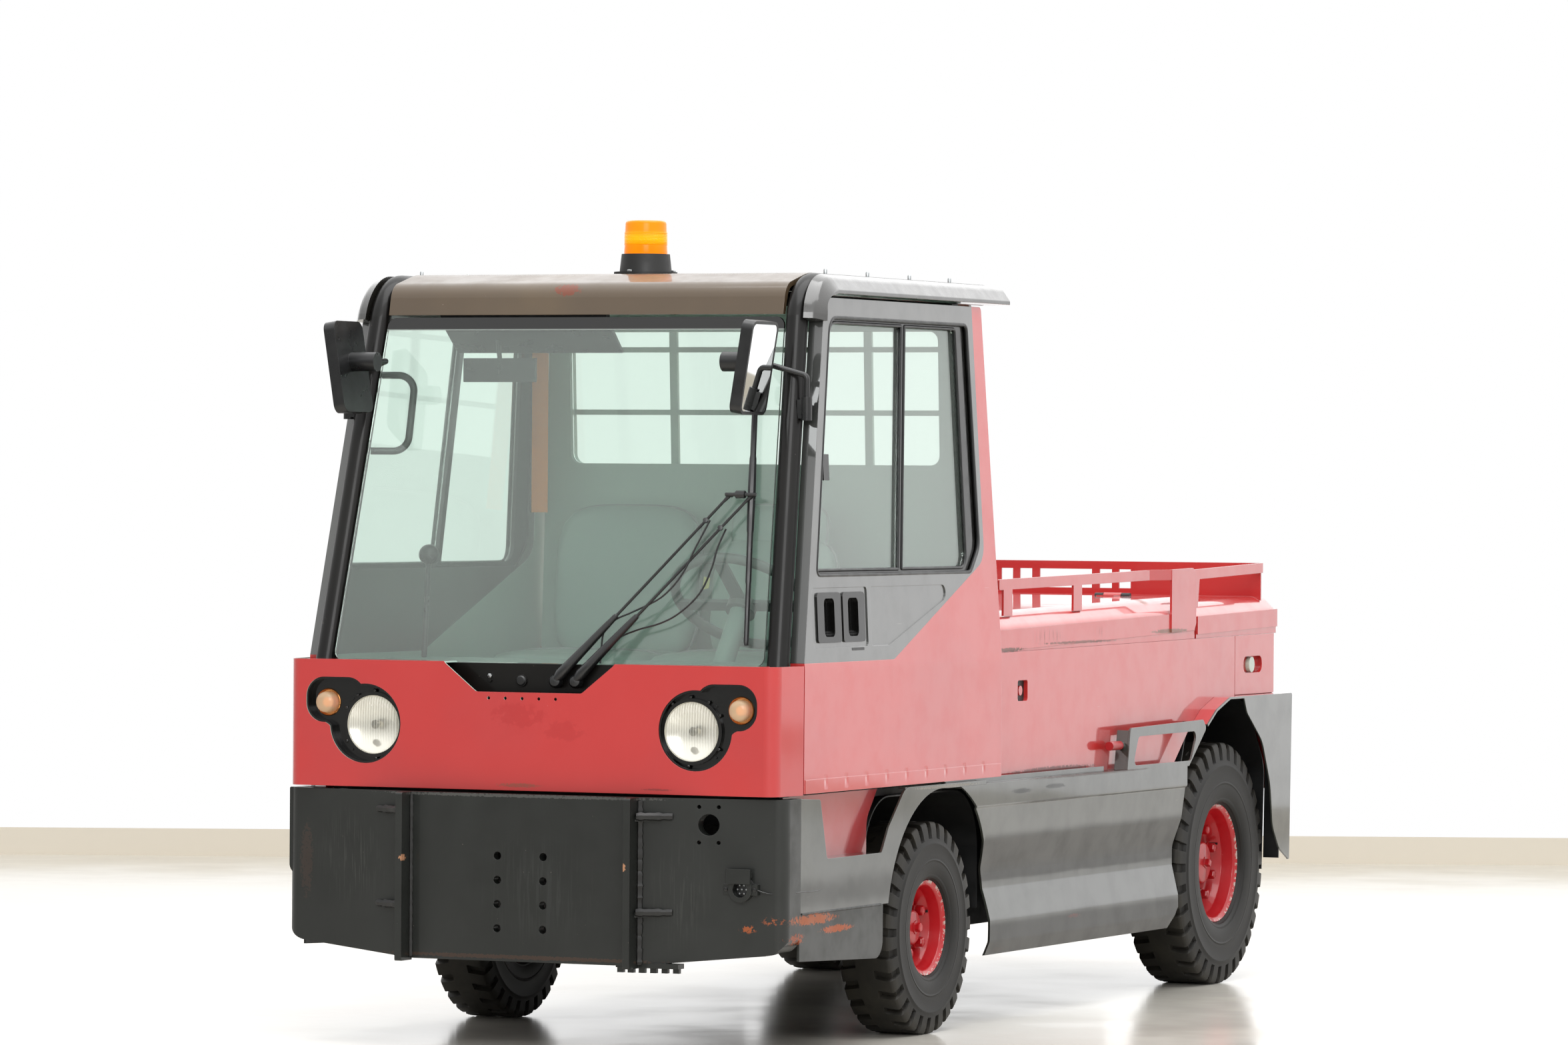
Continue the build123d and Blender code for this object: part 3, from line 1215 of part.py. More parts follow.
def rim(x, y, z, rim_radius, width, bore, studs, circle):
    """Deep dished rim with a raised hub and a ring of wheel nuts, seen from outside."""
    half = width / 2
    rows = [
        (x - half * 0.62, rim_radius - 16, 0), (x - half * 0.62, rim_radius - seat_gap, 0),
        (x + half * 0.62, rim_radius - seat_gap, 0), (x + half * 0.62 + 9, rim_radius + 4.5, 0),
        (x + half * 0.62 + 14, rim_radius + 4.5, 2), (x + half * 0.62 + 5, rim_radius - 9, 6),
        (x + half * 0.3, rim_radius - 15, 8), (x - half * 0.12, rim_radius - 34, 14),
        (x - half * 0.12, bore + 34, 6), (x + half * 0.02, bore + 26, 4), (x + half * 0.34, bore + 18, 8),
        (x + half * 0.38, bore * 0.5, 4), (x + half * 0.38, 0.01, 0), (x + half * 0.34 - 2, 0.01, 0),
        (x + half * 0.34 - 2, bore + shaft_gap, 0), (x - half * 0.4, bore + shaft_gap, 0),
        (x - half * 0.4, bore + 20, 0), (x - half * 0.22, bore + 34, 0), (x - half * 0.22, rim_radius - 40, 10),
    ]
    solid = turned(rows, y, z)
    for i in range(studs):
        angle = 2 * pi * (i + 0.5) / studs
        solid = solid + disc_x(x - half * 0.14, x + half * 0.08, y + circle * cos(angle), z + circle * sin(angle), 9)
    return solid


wheel_table = (
    # name, axle y, radius, width, middle x, rim radius, spindle radius, studs, stud circle
    ("front", front_axle_y, front_tyre_radius, front_tyre_width, front_track_half, front_rim_radius,
     front_spindle_radius, 5, 68.0),
    ("rear", rear_axle_y, rear_tyre_radius, rear_tyre_width, rear_track_half, rear_rim_radius,
     rear_spindle_radius, 8, 98.0),
)
for name, y, radius, width, x, rim_radius, bore, studs, circle in wheel_table:
    left_tyre = tyre(x, y, radius, width, rim_radius)
    left_rim = rim(x, y, radius, rim_radius, width, bore, studs, circle)
    nodes[f"tyre_{name}_left"] = left_tyre
    nodes[f"tyre_{name}_right"] = mirrored(left_tyre)
    nodes[f"rim_{name}_left"] = left_rim
    nodes[f"rim_{name}_right"] = mirrored(left_rim)

os.makedirs("parts", exist_ok=True)
for name, shape in nodes.items():
    shape.label = name
    export_step(shape, f"parts/{name}.step")
    box = shape.bounding_box()
    low, high = box.min, box.max
    print(f"{name:20s} x {low.X:8.1f} {high.X:8.1f}  y {low.Y:8.1f} {high.Y:8.1f}  z {low.Z:8.1f} {high.Z:8.1f}")
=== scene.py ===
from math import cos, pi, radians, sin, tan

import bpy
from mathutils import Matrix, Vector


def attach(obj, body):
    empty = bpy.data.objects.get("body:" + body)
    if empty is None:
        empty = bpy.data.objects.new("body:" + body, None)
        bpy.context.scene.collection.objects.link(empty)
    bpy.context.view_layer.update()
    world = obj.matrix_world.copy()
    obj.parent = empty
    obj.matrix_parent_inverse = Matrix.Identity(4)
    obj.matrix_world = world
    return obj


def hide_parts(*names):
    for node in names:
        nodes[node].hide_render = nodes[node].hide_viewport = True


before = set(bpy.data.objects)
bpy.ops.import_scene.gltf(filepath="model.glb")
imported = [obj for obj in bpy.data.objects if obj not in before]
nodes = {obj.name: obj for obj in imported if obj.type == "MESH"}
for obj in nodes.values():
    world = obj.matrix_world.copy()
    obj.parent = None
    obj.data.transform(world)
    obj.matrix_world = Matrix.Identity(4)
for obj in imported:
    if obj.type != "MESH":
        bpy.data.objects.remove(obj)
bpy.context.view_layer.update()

# %% [markdown]
# # An electric baggage tractor, dressed for its portrait
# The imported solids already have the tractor's real size and joints. This script gives them their
# finishes, adds the small hardware that a pressing shop and a fitter would add, and sets up a plain
# studio. Units are metres. The front faces -Y and the driver's left side is +X.

FA = -0.755           # y of the front axle; lengths along the tractor are measured from it
door_half = 0.677     # half width over the doors, wings and skirts
deck_half = 0.628     # half width over the deck's sides
panel_y = FA - 0.998  # front face of the red panel
bumper_y = FA - 1.038  # front face of the bumper's middle plate
rib_x = 0.300         # where the bumper's ribs stand, and where its plate starts to sweep back
SIDES = ((1, "left"), (-1, "right"))
WHEELS = {
    # axle y, tyre radius, rim radius, x of the tyre's middle, tyre width, lugs
    "front": (FA, 0.269, 0.117, 0.573, 0.156, 29),
    "rear": (FA + 2.070, 0.337, 0.161, 0.560, 0.180, 33),
}

# %% [markdown]
# ## Colours and nodes
# A paint shop writes colours as sRGB hex codes, while the renderer mixes light in linear values.
# One function turns the first into the second. One more adds a shader node with its settings and
# links, so that each material below reads as a short recipe.

# %% Colour and node helpers


def linear(code):
    """Linear RGBA of an sRGB hex code such as #B3202A."""
    parts = [int(code[i:i + 2], 16) / 255 for i in (1, 3, 5)]
    return tuple(p / 12.92 if p <= 0.04045 else ((p + 0.055) / 1.055) ** 2.4 for p in parts) + (1.0,)


def add(tree, kind, inputs=(), **settings):
    """New shader node with its settings; each input takes a value or another node's output."""
    node = tree.nodes.new("ShaderNode" + kind)
    for name, value in settings.items():
        setattr(node, name, value)
    for key, value in dict(inputs).items():
        if isinstance(value, bpy.types.NodeSocket):
            tree.links.new(value, node.inputs[key])
        else:
            node.inputs[key].default_value = value
    return node


print("colour check", [round(v, 3) for v in linear("#BA2626")[:3]])

# %% [markdown]
# ## A finish
# Every finish starts from the same two nodes, the shader and the piece's own coordinates. Those
# coordinates stay with the piece when a door slides or a wheel turns, so the wear stays put too.

# %% The words that recipes are written in


class Finish:
    """Material with its shader, its coordinates and the steps that its recipe takes."""

    def __init__(self, name, base, roughness, metallic=0.0):
        self.material = bpy.data.materials.new(name)
        self.material.use_nodes = True
        self.tree = self.material.node_tree
        self.shader = self.tree.nodes["Principled BSDF"]
        self.place = self.add("TexCoord").outputs["Object"]
        self.put("Base Color", linear(base))
        self.put("Roughness", roughness)
        self.put("Metallic", metallic)

    def add(self, kind, inputs=(), **settings):
        """New node in this material."""
        return add(self.tree, kind, inputs, **settings)

    def put(self, socket, value):
        """Give the shader's socket a value or another node's output."""
        target = self.shader.inputs[socket]
        if isinstance(value, bpy.types.NodeSocket):
            self.tree.links.new(value, target)
        else:
            target.default_value = value

    def now(self, socket):
        """The output that feeds the shader's socket so far."""
        return self.shader.inputs[socket].links[0].from_socket

    def noise(self, size_mm, detail=3, stretch=(1, 1, 1)):
        """Noise whose blotches are size_mm across, pulled out along the axes given."""
        scaled = self.add("Mapping", {"Vector": self.place, "Scale": stretch}).outputs[0]
        return self.add("TexNoise", {"Vector": scaled, "Scale": 1000 / size_mm, "Detail": detail,
                                     "Roughness": 0.55}).outputs["Fac"]

    def step(self, value, low, high, out_low=0.0, out_high=1.0):
        """Smooth rise from out_low to out_high while value runs from low to high."""
        return self.add("MapRange", {
            "Value": value, "From Min": low, "From Max": high, "To Min": out_low, "To Max": out_high},
            interpolation_type="SMOOTHSTEP").outputs["Result"]

    def maths(self, how, *values):
        """One arithmetic step, kept between 0 and 1 where it joins two amounts."""
        joins = how in ("MULTIPLY", "ADD", "MAXIMUM")
        return self.add("Math", dict(enumerate(values)), operation=how, use_clamp=joins).outputs[0]

    def times(self, first, *others):
        """Product of amounts."""
        for other in others:
            first = self.maths("MULTIPLY", first, other)
        return first

    def most(self, a, b):
        """The larger of two amounts."""
        return self.maths("MAXIMUM", a, b)

    def mix(self, amount, a, b):
        """Colour between a and b; each is a hex code or another node's colour."""
        ends = [linear(end) if isinstance(end, str) else end for end in (a, b)]
        return self.add("Mix", {"Factor": amount, 6: ends[0], 7: ends[1]}, data_type="RGBA").outputs[2]

    def axes(self, vector=None):
        """The x, y and z of a vector, or of the piece's own coordinates."""
        return self.add("SeparateXYZ", {0: self.place if vector is None else vector}).outputs

    def facing(self):
        """The x, y and z of the direction that the surface faces."""
        return self.axes(self.add("NewGeometry").outputs["Normal"])

    def within(self, value, low, high, soft=0.004):
        """1 where value lies between low and high, with soft edges."""
        return self.times(self.step(value, low - soft, low + soft),
                          self.step(value, high - soft, high + soft, 1.0, 0.0))

    def length(self, vector, centre, half=(1, 1, 1)):
        """Distance of a vector from a centre, in units of half."""
        offset = self.add("VectorMath", {0: vector, 1: centre}, operation="SUBTRACT").outputs[0]
        scaled = self.add("VectorMath", {0: offset, 1: half}, operation="DIVIDE").outputs[0]
        return self.add("VectorMath", {0: scaled}, operation="LENGTH").outputs["Value"]

    def patch(self, centre, half, soft):
        """1 inside an egg-shaped patch about centre, fading to 0 at half sizes away."""
        return self.step(self.length(self.place, centre, half), 1.0, 1.0 - soft)

    def from_hub(self, axle_y, height):
        """Distance from a wheel's axle, in the plane of the wheel."""
        _, y, z = self.axes()
        flat = self.add("CombineXYZ", {"Y": y, "Z": z}).outputs[0]
        return self.length(flat, (0, axle_y, height))

    def bump(self, height, depth_mm, normal=None, **settings):
        """Direction of the surface once height has pushed it out by depth_mm."""
        inputs = {"Height": height, "Distance": depth_mm / 1000, "Strength": 1.0}
        if normal is not None:
            inputs["Normal"] = normal
        return self.add("Bump", inputs, **settings).outputs[0]

    def relief(self, height, depth_mm, edge_mm):
        """Fine relief on edges softened by edge_mm, so that a cut edge catches the light."""
        soft_edge = self.add("Bevel", {"Radius": edge_mm / 1000}, samples=4).outputs[0]
        self.put("Normal", self.bump(height, depth_mm, soft_edge))
        return soft_edge

    def dress(self, *names):
        """Give this finish to the CAD nodes whose names start with one of names."""
        found = [name for name in nodes if name.startswith(names)]
        for name in found:
            nodes[name].data.materials.clear()
            nodes[name].data.materials.append(self.material)
        print(f"{self.material.name}: {len(found)} nodes")


# %% [markdown]
# ## Gloss enamel on pressed steel
# The tractor's paint is an oven-dried alkyd enamel under a clear gloss film with an IOR near 1.5.
# Seen straight on it shows its pigment, and along the side the film mirrors the pale hall, which is
# why the deck looks pinker than the front. The film lies almost flat, so it follows only long, faint
# waves of the sheet. Wear is kept to what a working machine shows: dust, fine scratches, and chips
# and rust where the photograph has them, which carry hardly any film.

# %% Enamel recipe


def enamel(name, base, faded, roughness=0.35, film=1.0, dull=0.1, wave=0.5, marks=(), drips=(), film_ior=1.5):
    """Pigment under a gloss film, with faded clouds, scratches, marks and drips.

    A mark is a centre, half sizes, a colour, a strength and a grain in millimetres; a drip has no grain.
    """
    paint = Finish(name, base, roughness)
    colour = paint.mix(paint.step(paint.noise(420), 0.42, 0.7), base, faded)
    # Fine scratches run mostly along the vehicle
    scratch = paint.step(paint.noise(7, 2, (1, 0.04, 0.8)), 0.76, 0.8)
    colour = paint.mix(paint.times(scratch, 0.16), colour, "#C9B7B2")
    bare = 0.0
    for centre, half, stain, strength, grain in marks:
        spot = paint.patch(centre, half, 0.8)
        rough = paint.maths("ADD", paint.noise(grain, 5), paint.times(spot, 0.30))
        amount = paint.times(paint.step(spot, 0.0, 0.5), paint.step(rough, 0.62, 0.66), strength)
        colour = paint.mix(amount, colour, stain)
        bare = paint.most(bare, amount)
    for centre, half, stain, strength in drips:
        streak = paint.step(paint.noise(5, 3, (1, 1, 0.05)), 0.52, 0.62)
        amount = paint.times(paint.patch(centre, half, 0.9), streak, strength)
        colour = paint.mix(amount, colour, stain)
        bare = paint.most(bare, amount)
    paint.put("Base Color", colour)
    paint.put("Roughness", paint.step(paint.noise(90, 5), 0.35, 0.75, roughness, roughness + dull))
    paint.put("IOR", 1.5)
    paint.put("Coat Weight", paint.step(bare, 0.0, 1.0, film, film * 0.15))
    paint.put("Coat Roughness", 0.05)
    paint.put("Coat IOR", film_ior)
    # The sheet's long waves are some 240 mm apart and about half a millimetre deep
    soft_edge = paint.relief(paint.noise(26, 2), 0.04, 1.6)
    paint.put("Coat Normal", paint.bump(paint.noise(240, 1), wave, soft_edge))
    return paint


# %% [markdown]
# The front carries the faint ghost of an old notice and a row of chips. The lids' side strips have rust
# drips, and their lower seam is dark brown, partly rust and partly painted shade in the gap at the seam. The
# bumper's left corner is scraped to orange rust.

# %% Red, grey and dark enamels
red = enamel("red alkyd enamel", "#BB2625", "#B52829", wave=0.35, marks=(
    ((-0.030, panel_y, 0.820), (0.11, 0.03, 0.045), "#A51C1E", 0.35, 16),
    ((0.095, panel_y, 0.785), (0.08, 0.03, 0.035), "#A51C1E", 0.35, 14),
    ((-0.025, panel_y, 0.650), (0.085, 0.03, 0.008), "#7E4A3A", 0.7, 3),
    ((0.35, panel_y, 0.648), (0.06, 0.03, 0.004), "#5A2622", 0.5, 4),
    # The lids' lower seam: partly rust, partly painted shade in the gap at the seam
    ((0.632, FA + 0.55, 0.962), (0.02, 0.16, 0.009), "#5B3A2C", 0.9, 6),
    ((0.632, FA + 1.05, 0.974), (0.02, 0.45, 0.006), "#5B3A2C", 0.8, 6),
    ((0.630, FA + 1.70, 0.992), (0.03, 0.20, 0.010), "#6A5A48", 0.8, 7),
    ((0.63, FA + 0.85, 0.64), (0.03, 0.45, 0.014), "#4A2420", 0.8, 5),
    ((0.560, FA + 1.60, 1.070), (0.06, 0.05, 0.02), "#7A4630", 0.8, 6),
), drips=(
    ((0.63, FA + 0.82, 0.992), (0.03, 0.15, 0.030), "#7E3A30", 0.75),
    ((0.63, FA + 1.20, 1.000), (0.03, 0.10, 0.022), "#8A4038", 0.5),
    ((-0.56, FA + 1.20, 1.120), (0.06, 0.60, 0.05), "#5C2420", 0.5),
))
red_inside = enamel("red enamel, shaded", "#A81D22", "#98181C")
grey = enamel("grey machinery enamel", "#2B2E29", "#343731", roughness=0.34, wave=0.6, film=0.9, marks=(
    ((0.677, FA - 0.60, 0.345), (0.03, 0.26, 0.006), "#A2512B", 0.9, 7),
    ((0.677, FA + 0.52, 0.598), (0.03, 0.10, 0.010), "#1E2022", 0.8, 5),
    ((0.677, FA + 0.75, 0.602), (0.03, 0.10, 0.010), "#1E2022", 0.7, 5),
    ((0.677, FA + 0.80, 0.566), (0.03, 0.45, 0.006), "#23211F", 0.9, 5),
    ((0.677, FA + 1.00, 0.625), (0.05, 0.65, 0.005), "#3A2A26", 0.8, 6),
    ((0.65, FA + 0.95, 0.250), (0.05, 0.06, 0.008), "#C0504A", 0.8, 9),
    ((0.66, FA + 0.45, 0.190), (0.05, 0.10, 0.010), "#6A4028", 0.7, 6),
    ((0.677, FA + 0.02, 0.628), (0.03, 0.30, 0.006), "#7A7266", 0.7, 6),
))
bumper = enamel("blue-black machinery enamel", "#1B1D1B", "#212321", 0.38, film=0.28, dull=0.2, marks=(
    ((0.585, FA - 0.955, 0.318), (0.034, 0.06, 0.018), "#8E4A28", 1.0, 9),
    ((0.640, FA - 0.92, 0.335), (0.055, 0.08, 0.026), "#96502F", 1.0, 8),
    ((0.655, FA - 0.90, 0.292), (0.048, 0.08, 0.024), "#8A4426", 1.0, 7),
    ((0.677, FA - 0.80, 0.335), (0.03, 0.19, 0.020), "#98522F", 1.0, 8),
    ((0.677, FA - 0.66, 0.305), (0.03, 0.14, 0.014), "#A2512B", 0.9, 7),
    ((0.655, FA - 0.92, 0.430), (0.016, 0.05, 0.016), "#C05A50", 0.9, 6),
    ((-0.30, bumper_y - 0.045, 0.470), (0.012, 0.03, 0.012), "#B08060", 0.9, 5),
    ((0.30, bumper_y - 0.045, 0.462), (0.012, 0.03, 0.014), "#B08060", 0.9, 5),
    ((0.0, bumper_y, 0.233), (0.62, 0.05, 0.008), "#4A3428", 0.5, 7),
    ((0.0, bumper_y, 0.626), (0.66, 0.05, 0.006), "#5A5A58", 0.6, 6),
    ((-0.62, FA - 0.97, 0.45), (0.03, 0.04, 0.14), "#3A2E28", 0.6, 7),
), drips=(
    ((-0.48, FA - 1.0, 0.46), (0.14, 0.1, 0.16), "#6E6E6A", 0.10),
    ((0.05, bumper_y, 0.40), (0.22, 0.05, 0.17), "#5E6060", 0.07),
    ((0.42, FA - 1.02, 0.40), (0.10, 0.1, 0.17), "#6E6E6A", 0.08),
))
door_grey = enamel("dark grey door enamel", "#2C2E2C", "#323431", wave=0.3, film_ior=1.75)
cab_black = enamel("black frame enamel", "#0C0B0A", "#12110F", film=0.14, wave=0.2)
roof_brown = enamel("weathered brown-black roof enamel", "#4A3B28", "#55452F", 0.36, film=0.45, dull=0.2,
                    marks=(((-0.055, FA - 0.69, 1.868), (0.056, 0.06, 0.024), "#6E3420", 0.85, 9),))
bumper.put("IOR", 1.38)
cab_black.put("IOR", 1.28)
red.dress("door_panel", "front_panel", "body_sides", "corner_panels", "rear_panel", "front_lid", "rear_lid")
red_inside.dress("lower_panels")
bumper.dress("front_bumper")
door_grey.dress("door_frame")
cab_black.dress("cab_frame", "cowl")
roof_brown.dress("roof")
grey.dress("front_wings", "skirts")

# %% [markdown]
# The grey sides carry dark bands: along the bottom edge, at mid height, and above and below the belly's crown
# on the skirts. The bottom band darkens the paint towards the bottom. The mid band is painted shade, and the
# skirt bands are painted shade that stands for the curved belly's reflection, leaving the crown bright. The
# bands darken the paint and dull its film.

# %% Painted shade bands and a darker bottom band on wings and skirts
_, grey_y, grey_z = grey.axes()
ragged_z = grey.maths("SUBTRACT", grey_z, grey.times(grey.noise(60, 4), 0.05))
# Painted shade: a dark band at mid height, with a ragged edge
painted_shade_band = grey.times(grey.within(ragged_z, 0.335, 0.405, 0.03), 0.65)
# Darker towards the bottom edge, joined with the painted shade band
bottom_and_shade_bands = grey.most(grey.step(ragged_z, 0.225, 0.190), painted_shade_band)
belly_z = grey.maths("SUBTRACT", grey_z, grey.times(grey.noise(120), 0.012))
# Painted shade above and below the skirts' belly crown, in place of its curved reflection
painted_shade_above_crown = grey.times(grey.step(belly_z, 0.352, 0.368), grey.step(belly_z, 0.500, 0.460))
painted_shade_below_crown = grey.step(belly_z, 0.274, 0.240)
on_skirt = grey.step(grey_y, FA + 0.300, FA + 0.320)
dark_bands = grey.most(bottom_and_shade_bands, grey.times(grey.most(painted_shade_above_crown, painted_shade_below_crown), on_skirt))
# The bands darken the paint and dull its film; all but the bottom band are painted shade
grey.put("Base Color", grey.mix(grey.times(dark_bands, 0.9), grey.now("Base Color"), "#1D1C19"))
grey.put("Coat Weight", grey.times(grey.now("Coat Weight"), grey.step(dark_bands, 0.0, 1.0, 0.95, 0.10)))

# %% [markdown]
# Some panels wear a second colour. The rear mudguards are grey on the outside, red on top like the
# body they were sprayed with, and black underneath. Red panels are lined with the cab's pale grey
# where they face the driver. The door's lower hem has a row of shallow dents where it was
# spot-welded.

# %% Mudguards in three colours, lined doors and dented hems
guard = enamel("grey, red and black mudguard enamel", "#30332E", "#383B35", roughness=0.34, wave=0.3)
inner = guard.step(guard.maths("ABSOLUTE", guard.axes()[0]), door_half - 0.0035, door_half - 0.0045)
on_top = guard.times(guard.step(guard.facing()[2], 0.2, 0.3), inner)
painted = guard.mix(inner, guard.now("Base Color"), "#0F1011")
guard.put("Base Color", guard.mix(on_top, painted, "#B52427"))
guard.dress("rear_mudguards")

red_x, red_y, red_z = red.axes()
across = red.maths("SUBTRACT", red.facing()[0], red.maths("SIGN", red_x))
lining = red.times(red.step(red.maths("ABSOLUTE", across), 1.2, 1.5),
                   red.step(red_y, FA + 0.52, FA + 0.50), red.step(red_z, 0.62, 0.64))
red.put("Base Color", red.mix(lining, red.now("Base Color"), "#A6C0B4"))
red.put("Coat Weight", red.times(red.now("Coat Weight"), red.step(lining, 0.0, 1.0, 1.0, 0.0)))
hem = red.times(red.within(red_z, 0.655, 0.676, 0.008), red.within(red_y, FA - 0.84, FA + 0.36))
half_pitch = 0.062
dents = red.times(red.step(red.maths("PINGPONG", red_y, half_pitch), 0.012, 0.0), hem)
red.put("Coat Normal", red.bump(dents, 1.5, red.now("Coat Normal"), invert=True))
print("hem dents every", round(2000 * half_pitch), "mm along each door")

# %% [markdown]
# ## Rubber, plastic and plain steel
# Tyres are carbon-black rubber, dulled grey where they roll. The roof mouldings, mirrors and wiper
# are moulded black plastic with a fine grain. Frames below are dusty satin paint. None of these
# mirror much, so roughness does most of the work.

# %% Moulded plastics and rubber


def moulded(name, base, dusty, roughness, grain_mm, depth_mm, dust=0.35):
    """Grained moulding with dust in patches."""
    skin = Finish(name, base, roughness)
    skin.put("Base Color", skin.mix(skin.step(skin.noise(140, 5), 0.45, 0.75, 0.0, dust), base, dusty))
    skin.put("Roughness", skin.step(skin.noise(45, 4), 0.3, 0.7, roughness - 0.06, roughness + 0.08))
    skin.relief(skin.noise(grain_mm, 2), depth_mm, 0.8)
    return skin


plastic = moulded("moulded black plastic", "#131415", "#242424", 0.32, 1.6, 0.03)
gloss_black = moulded("glossy black moulding", "#0D0D0C", "#161614", 0.14, 6, 0.02, 0.2)
rail_black = moulded("weathered roof moulding", "#1E1D1A", "#282621", 0.3, 9, 0.03, 0.3)
rail_black.put("Coat Weight", 0.85)
rail_black.put("Coat Roughness", 0.12)
seal = moulded("black rubber seal", "#0C0D0E", "#1A1A1A", 0.35, 3, 0.03)
underbody = moulded("dusty chassis paint", "#17181A", "#2E2C2A", 0.55, 6, 0.12, 0.5)
liner_black = moulded("black wheel arch sheet", "#0E0F10", "#1C1B1A", 0.5, 9, 0.1, 0.5)
dash_plastic = moulded("grained grey dashboard plastic", "#8AA399", "#91A99F", 0.5, 1.8, 0.03)
cab_lining = moulded("matt grey cab paint", "#A6C0B4", "#ACC4B8", 0.5, 12, 0.02)
floor_mat = moulded("ribbed rubber floor mat", "#2B2C2D", "#3C3B3A", 0.7, 4, 0.2)
seat_vinyl = moulded("grey-green seat vinyl", "#8FAA9F", "#96B0A5", 0.42, 2.2, 0.025)
red_rubber = moulded("red rubber buffer", "#9E1B20", "#7D181C", 0.35, 4, 0.05)
warm_lamp = moulded("pale lamp rim", "#C9C6B8", "#CFCCBF", 0.3, 3, 0.02)
orange_web = moulded("orange seat belt webbing", "#F28E3A", "#E08434", 0.7, 1.5, 0.1)
yellow_tag = moulded("yellow plastic tag", "#D8D27A", "#CFC870", 0.5, 3, 0.02)
wheel_plastic = moulded("dark grey wheel rim plastic", "#5A6561", "#626D69", 0.4, 3, 0.03)
beacon_foot = moulded("dull black beacon foot", "#080807", "#11100E", 0.55, 3, 0.03, 0.2)
weld_black_and_shade = moulded("black weld and painted shade", "#0A0A09", "#131210", 0.5, 5, 0.2, 0.2)
seat_piping = moulded("pale seat piping", "#8B9594", "#949D9B", 0.4, 3, 0.02)
plastic.dress("door_mirrors", "cab_fittings", "wiper")
beacon_foot.dress("beacon_base")
wheel_plastic.dress("steering_wheel")
gloss_black.dress("lamp_bezels", "door_trim")
rail_black.dress("roof_rails")
underbody.dress("chassis_frame", "front_axle", "knuckle", "drive_axle", "tow_coupling", "battery")
liner_black.dress("wheel_wells")
dash_plastic.dress("dashboard")
cab_lining.dress("rear_wall")
floor_mat.dress("cab_floor")
red_rubber.dress("door_buffers")
seat_vinyl.dress("seats")

# %% [markdown]
# ## Tyres
# A tyre's sidewall is turned, so its rings follow the distance from the hub: a rim guard and one
# low step. The relief is a wave of that distance. Dust sits on the shoulder lugs.

# %% Tyre rubber with turned sidewall rings


def tyre_rubber(word, axle_y, radius, rim_radius):
    """Rubber whose rings are measured from one axle's line."""
    rubber = Finish(f"{word} tyre rubber", "#100F0D", 0.58)
    rubber.put("IOR", 1.38)
    distance = rubber.from_hub(axle_y, radius)
    wall = radius - rim_radius
    # The rim guard and the low step, as shares of the wall: place and half width
    guard_ring, low_step = (rubber.within(
        distance, rim_radius + wall * (share - half), rim_radius + wall * (share + half), wall * 0.018)
        for share, half in ((0.08, 0.030), (0.36, 0.010)))
    grain = rubber.times(rubber.noise(2.5, 2), 0.12)
    rubber.relief(rubber.maths("ADD", rubber.most(guard_ring, low_step), grain), 2.4, 1.5)
    dust = rubber.times(rubber.step(distance, radius - 0.05, radius - 0.002), 0.45)
    blotch = rubber.step(rubber.noise(70, 5), 0.35, 0.7, 0.4, 1.0)
    colour = rubber.mix(rubber.times(dust, blotch), "#100F0D", "#37332A")
    grey_patches = rubber.step(rubber.noise(120, 4), 0.5, 0.8, 0.0, 0.3)
    rubber.put("Base Color", rubber.mix(grey_patches, colour, "#2A2823"))
    return rubber


tyre_rubbers = {word: tyre_rubber(word, *row[:3]) for word, row in WHEELS.items()}
for word, rubber in tyre_rubbers.items():
    rubber.dress(f"tyre_{word}")

# %% [markdown]
# ## Wheel paint
# The rims are sprayed in a bright red gloss and then chipped along their lips by kerbs and tyre
# levers, where bare grey steel shows. The lip is found by its distance from the hub.

# %% Rim enamel


def rim_enamel(word, axle_y, radius, lip_radius):
    """Red gloss with bare steel along the lip."""
    paint = enamel(f"{word} rim enamel", "#B40E19", "#A81019", roughness=0.36, film=0.4, wave=0.1)
    paint.put("IOR", 1.38)
    distance = paint.from_hub(axle_y, radius)
    lip = paint.step(distance, lip_radius - 0.006, lip_radius + 0.001)
    worn = paint.times(lip, paint.step(paint.noise(9, 4), 0.5, 0.56))
    colour = paint.mix(worn, paint.now("Base Color"), "#B9A9A2")
    # Patches darker towards the hub, inside the lip
    deep = paint.times(paint.step(distance, lip_radius - 0.02, lip_radius - 0.05), 0.35)
    darker_patches = paint.times(deep, paint.step(paint.noise(40, 4), 0.4, 0.7))
    paint.put("Base Color", paint.mix(darker_patches, colour, "#5C1416"))
    return paint


rim_paints = {word: rim_enamel(word, *row[:3]) for word, row in WHEELS.items()}
for word, paint in rim_paints.items():
    paint.dress(f"rim_{word}")

# %% [markdown]
# ## Metals and mirrors
# Zinc-plated steel and the lamp reflectors are metals, so metallic is near 1 and the colour is the
# reflection's tint. A metal keeps the default IOR.

# %% Metals
zinc = Finish("zinc-plated steel", "#9FA2A3", 0.35, 1.0)
zinc.relief(zinc.noise(4, 2), 0.02, 0.5)
dark_metal = Finish("shadowed lamp metal", "#6A675C", 0.25, 0.8)
aluminised = Finish("aluminised lamp bowl", "#F6F4EA", 0.2, 0.7)
amber_chrome = Finish("chromed cup in amber light", "#D99A5C", 0.15, 0.9)
silvered = Finish("silvered mirror", "#E3E6E6", 0.02, 1.0)
zinc.dress("tow_pin")
silvered.dress("mirror_glasses")

# %% [markdown]
# ## Glass and lamp lenses
# Cab glass is float glass, IOR 1.52, with a little iron in it: edge-on it is green, and through a
# pane the cab looks a shade cooler. A thin pane needs only a pale tint, because light crosses it
# twice. Lamp lenses are clear or dyed plastic.

# %% Glass recipes


def clear(name, tint, roughness, ior, transmission):
    """See-through solid with a faint tint."""
    glass = Finish(name, tint, roughness)
    glass.put("IOR", ior)
    glass.put("Transmission Weight", transmission)
    return glass


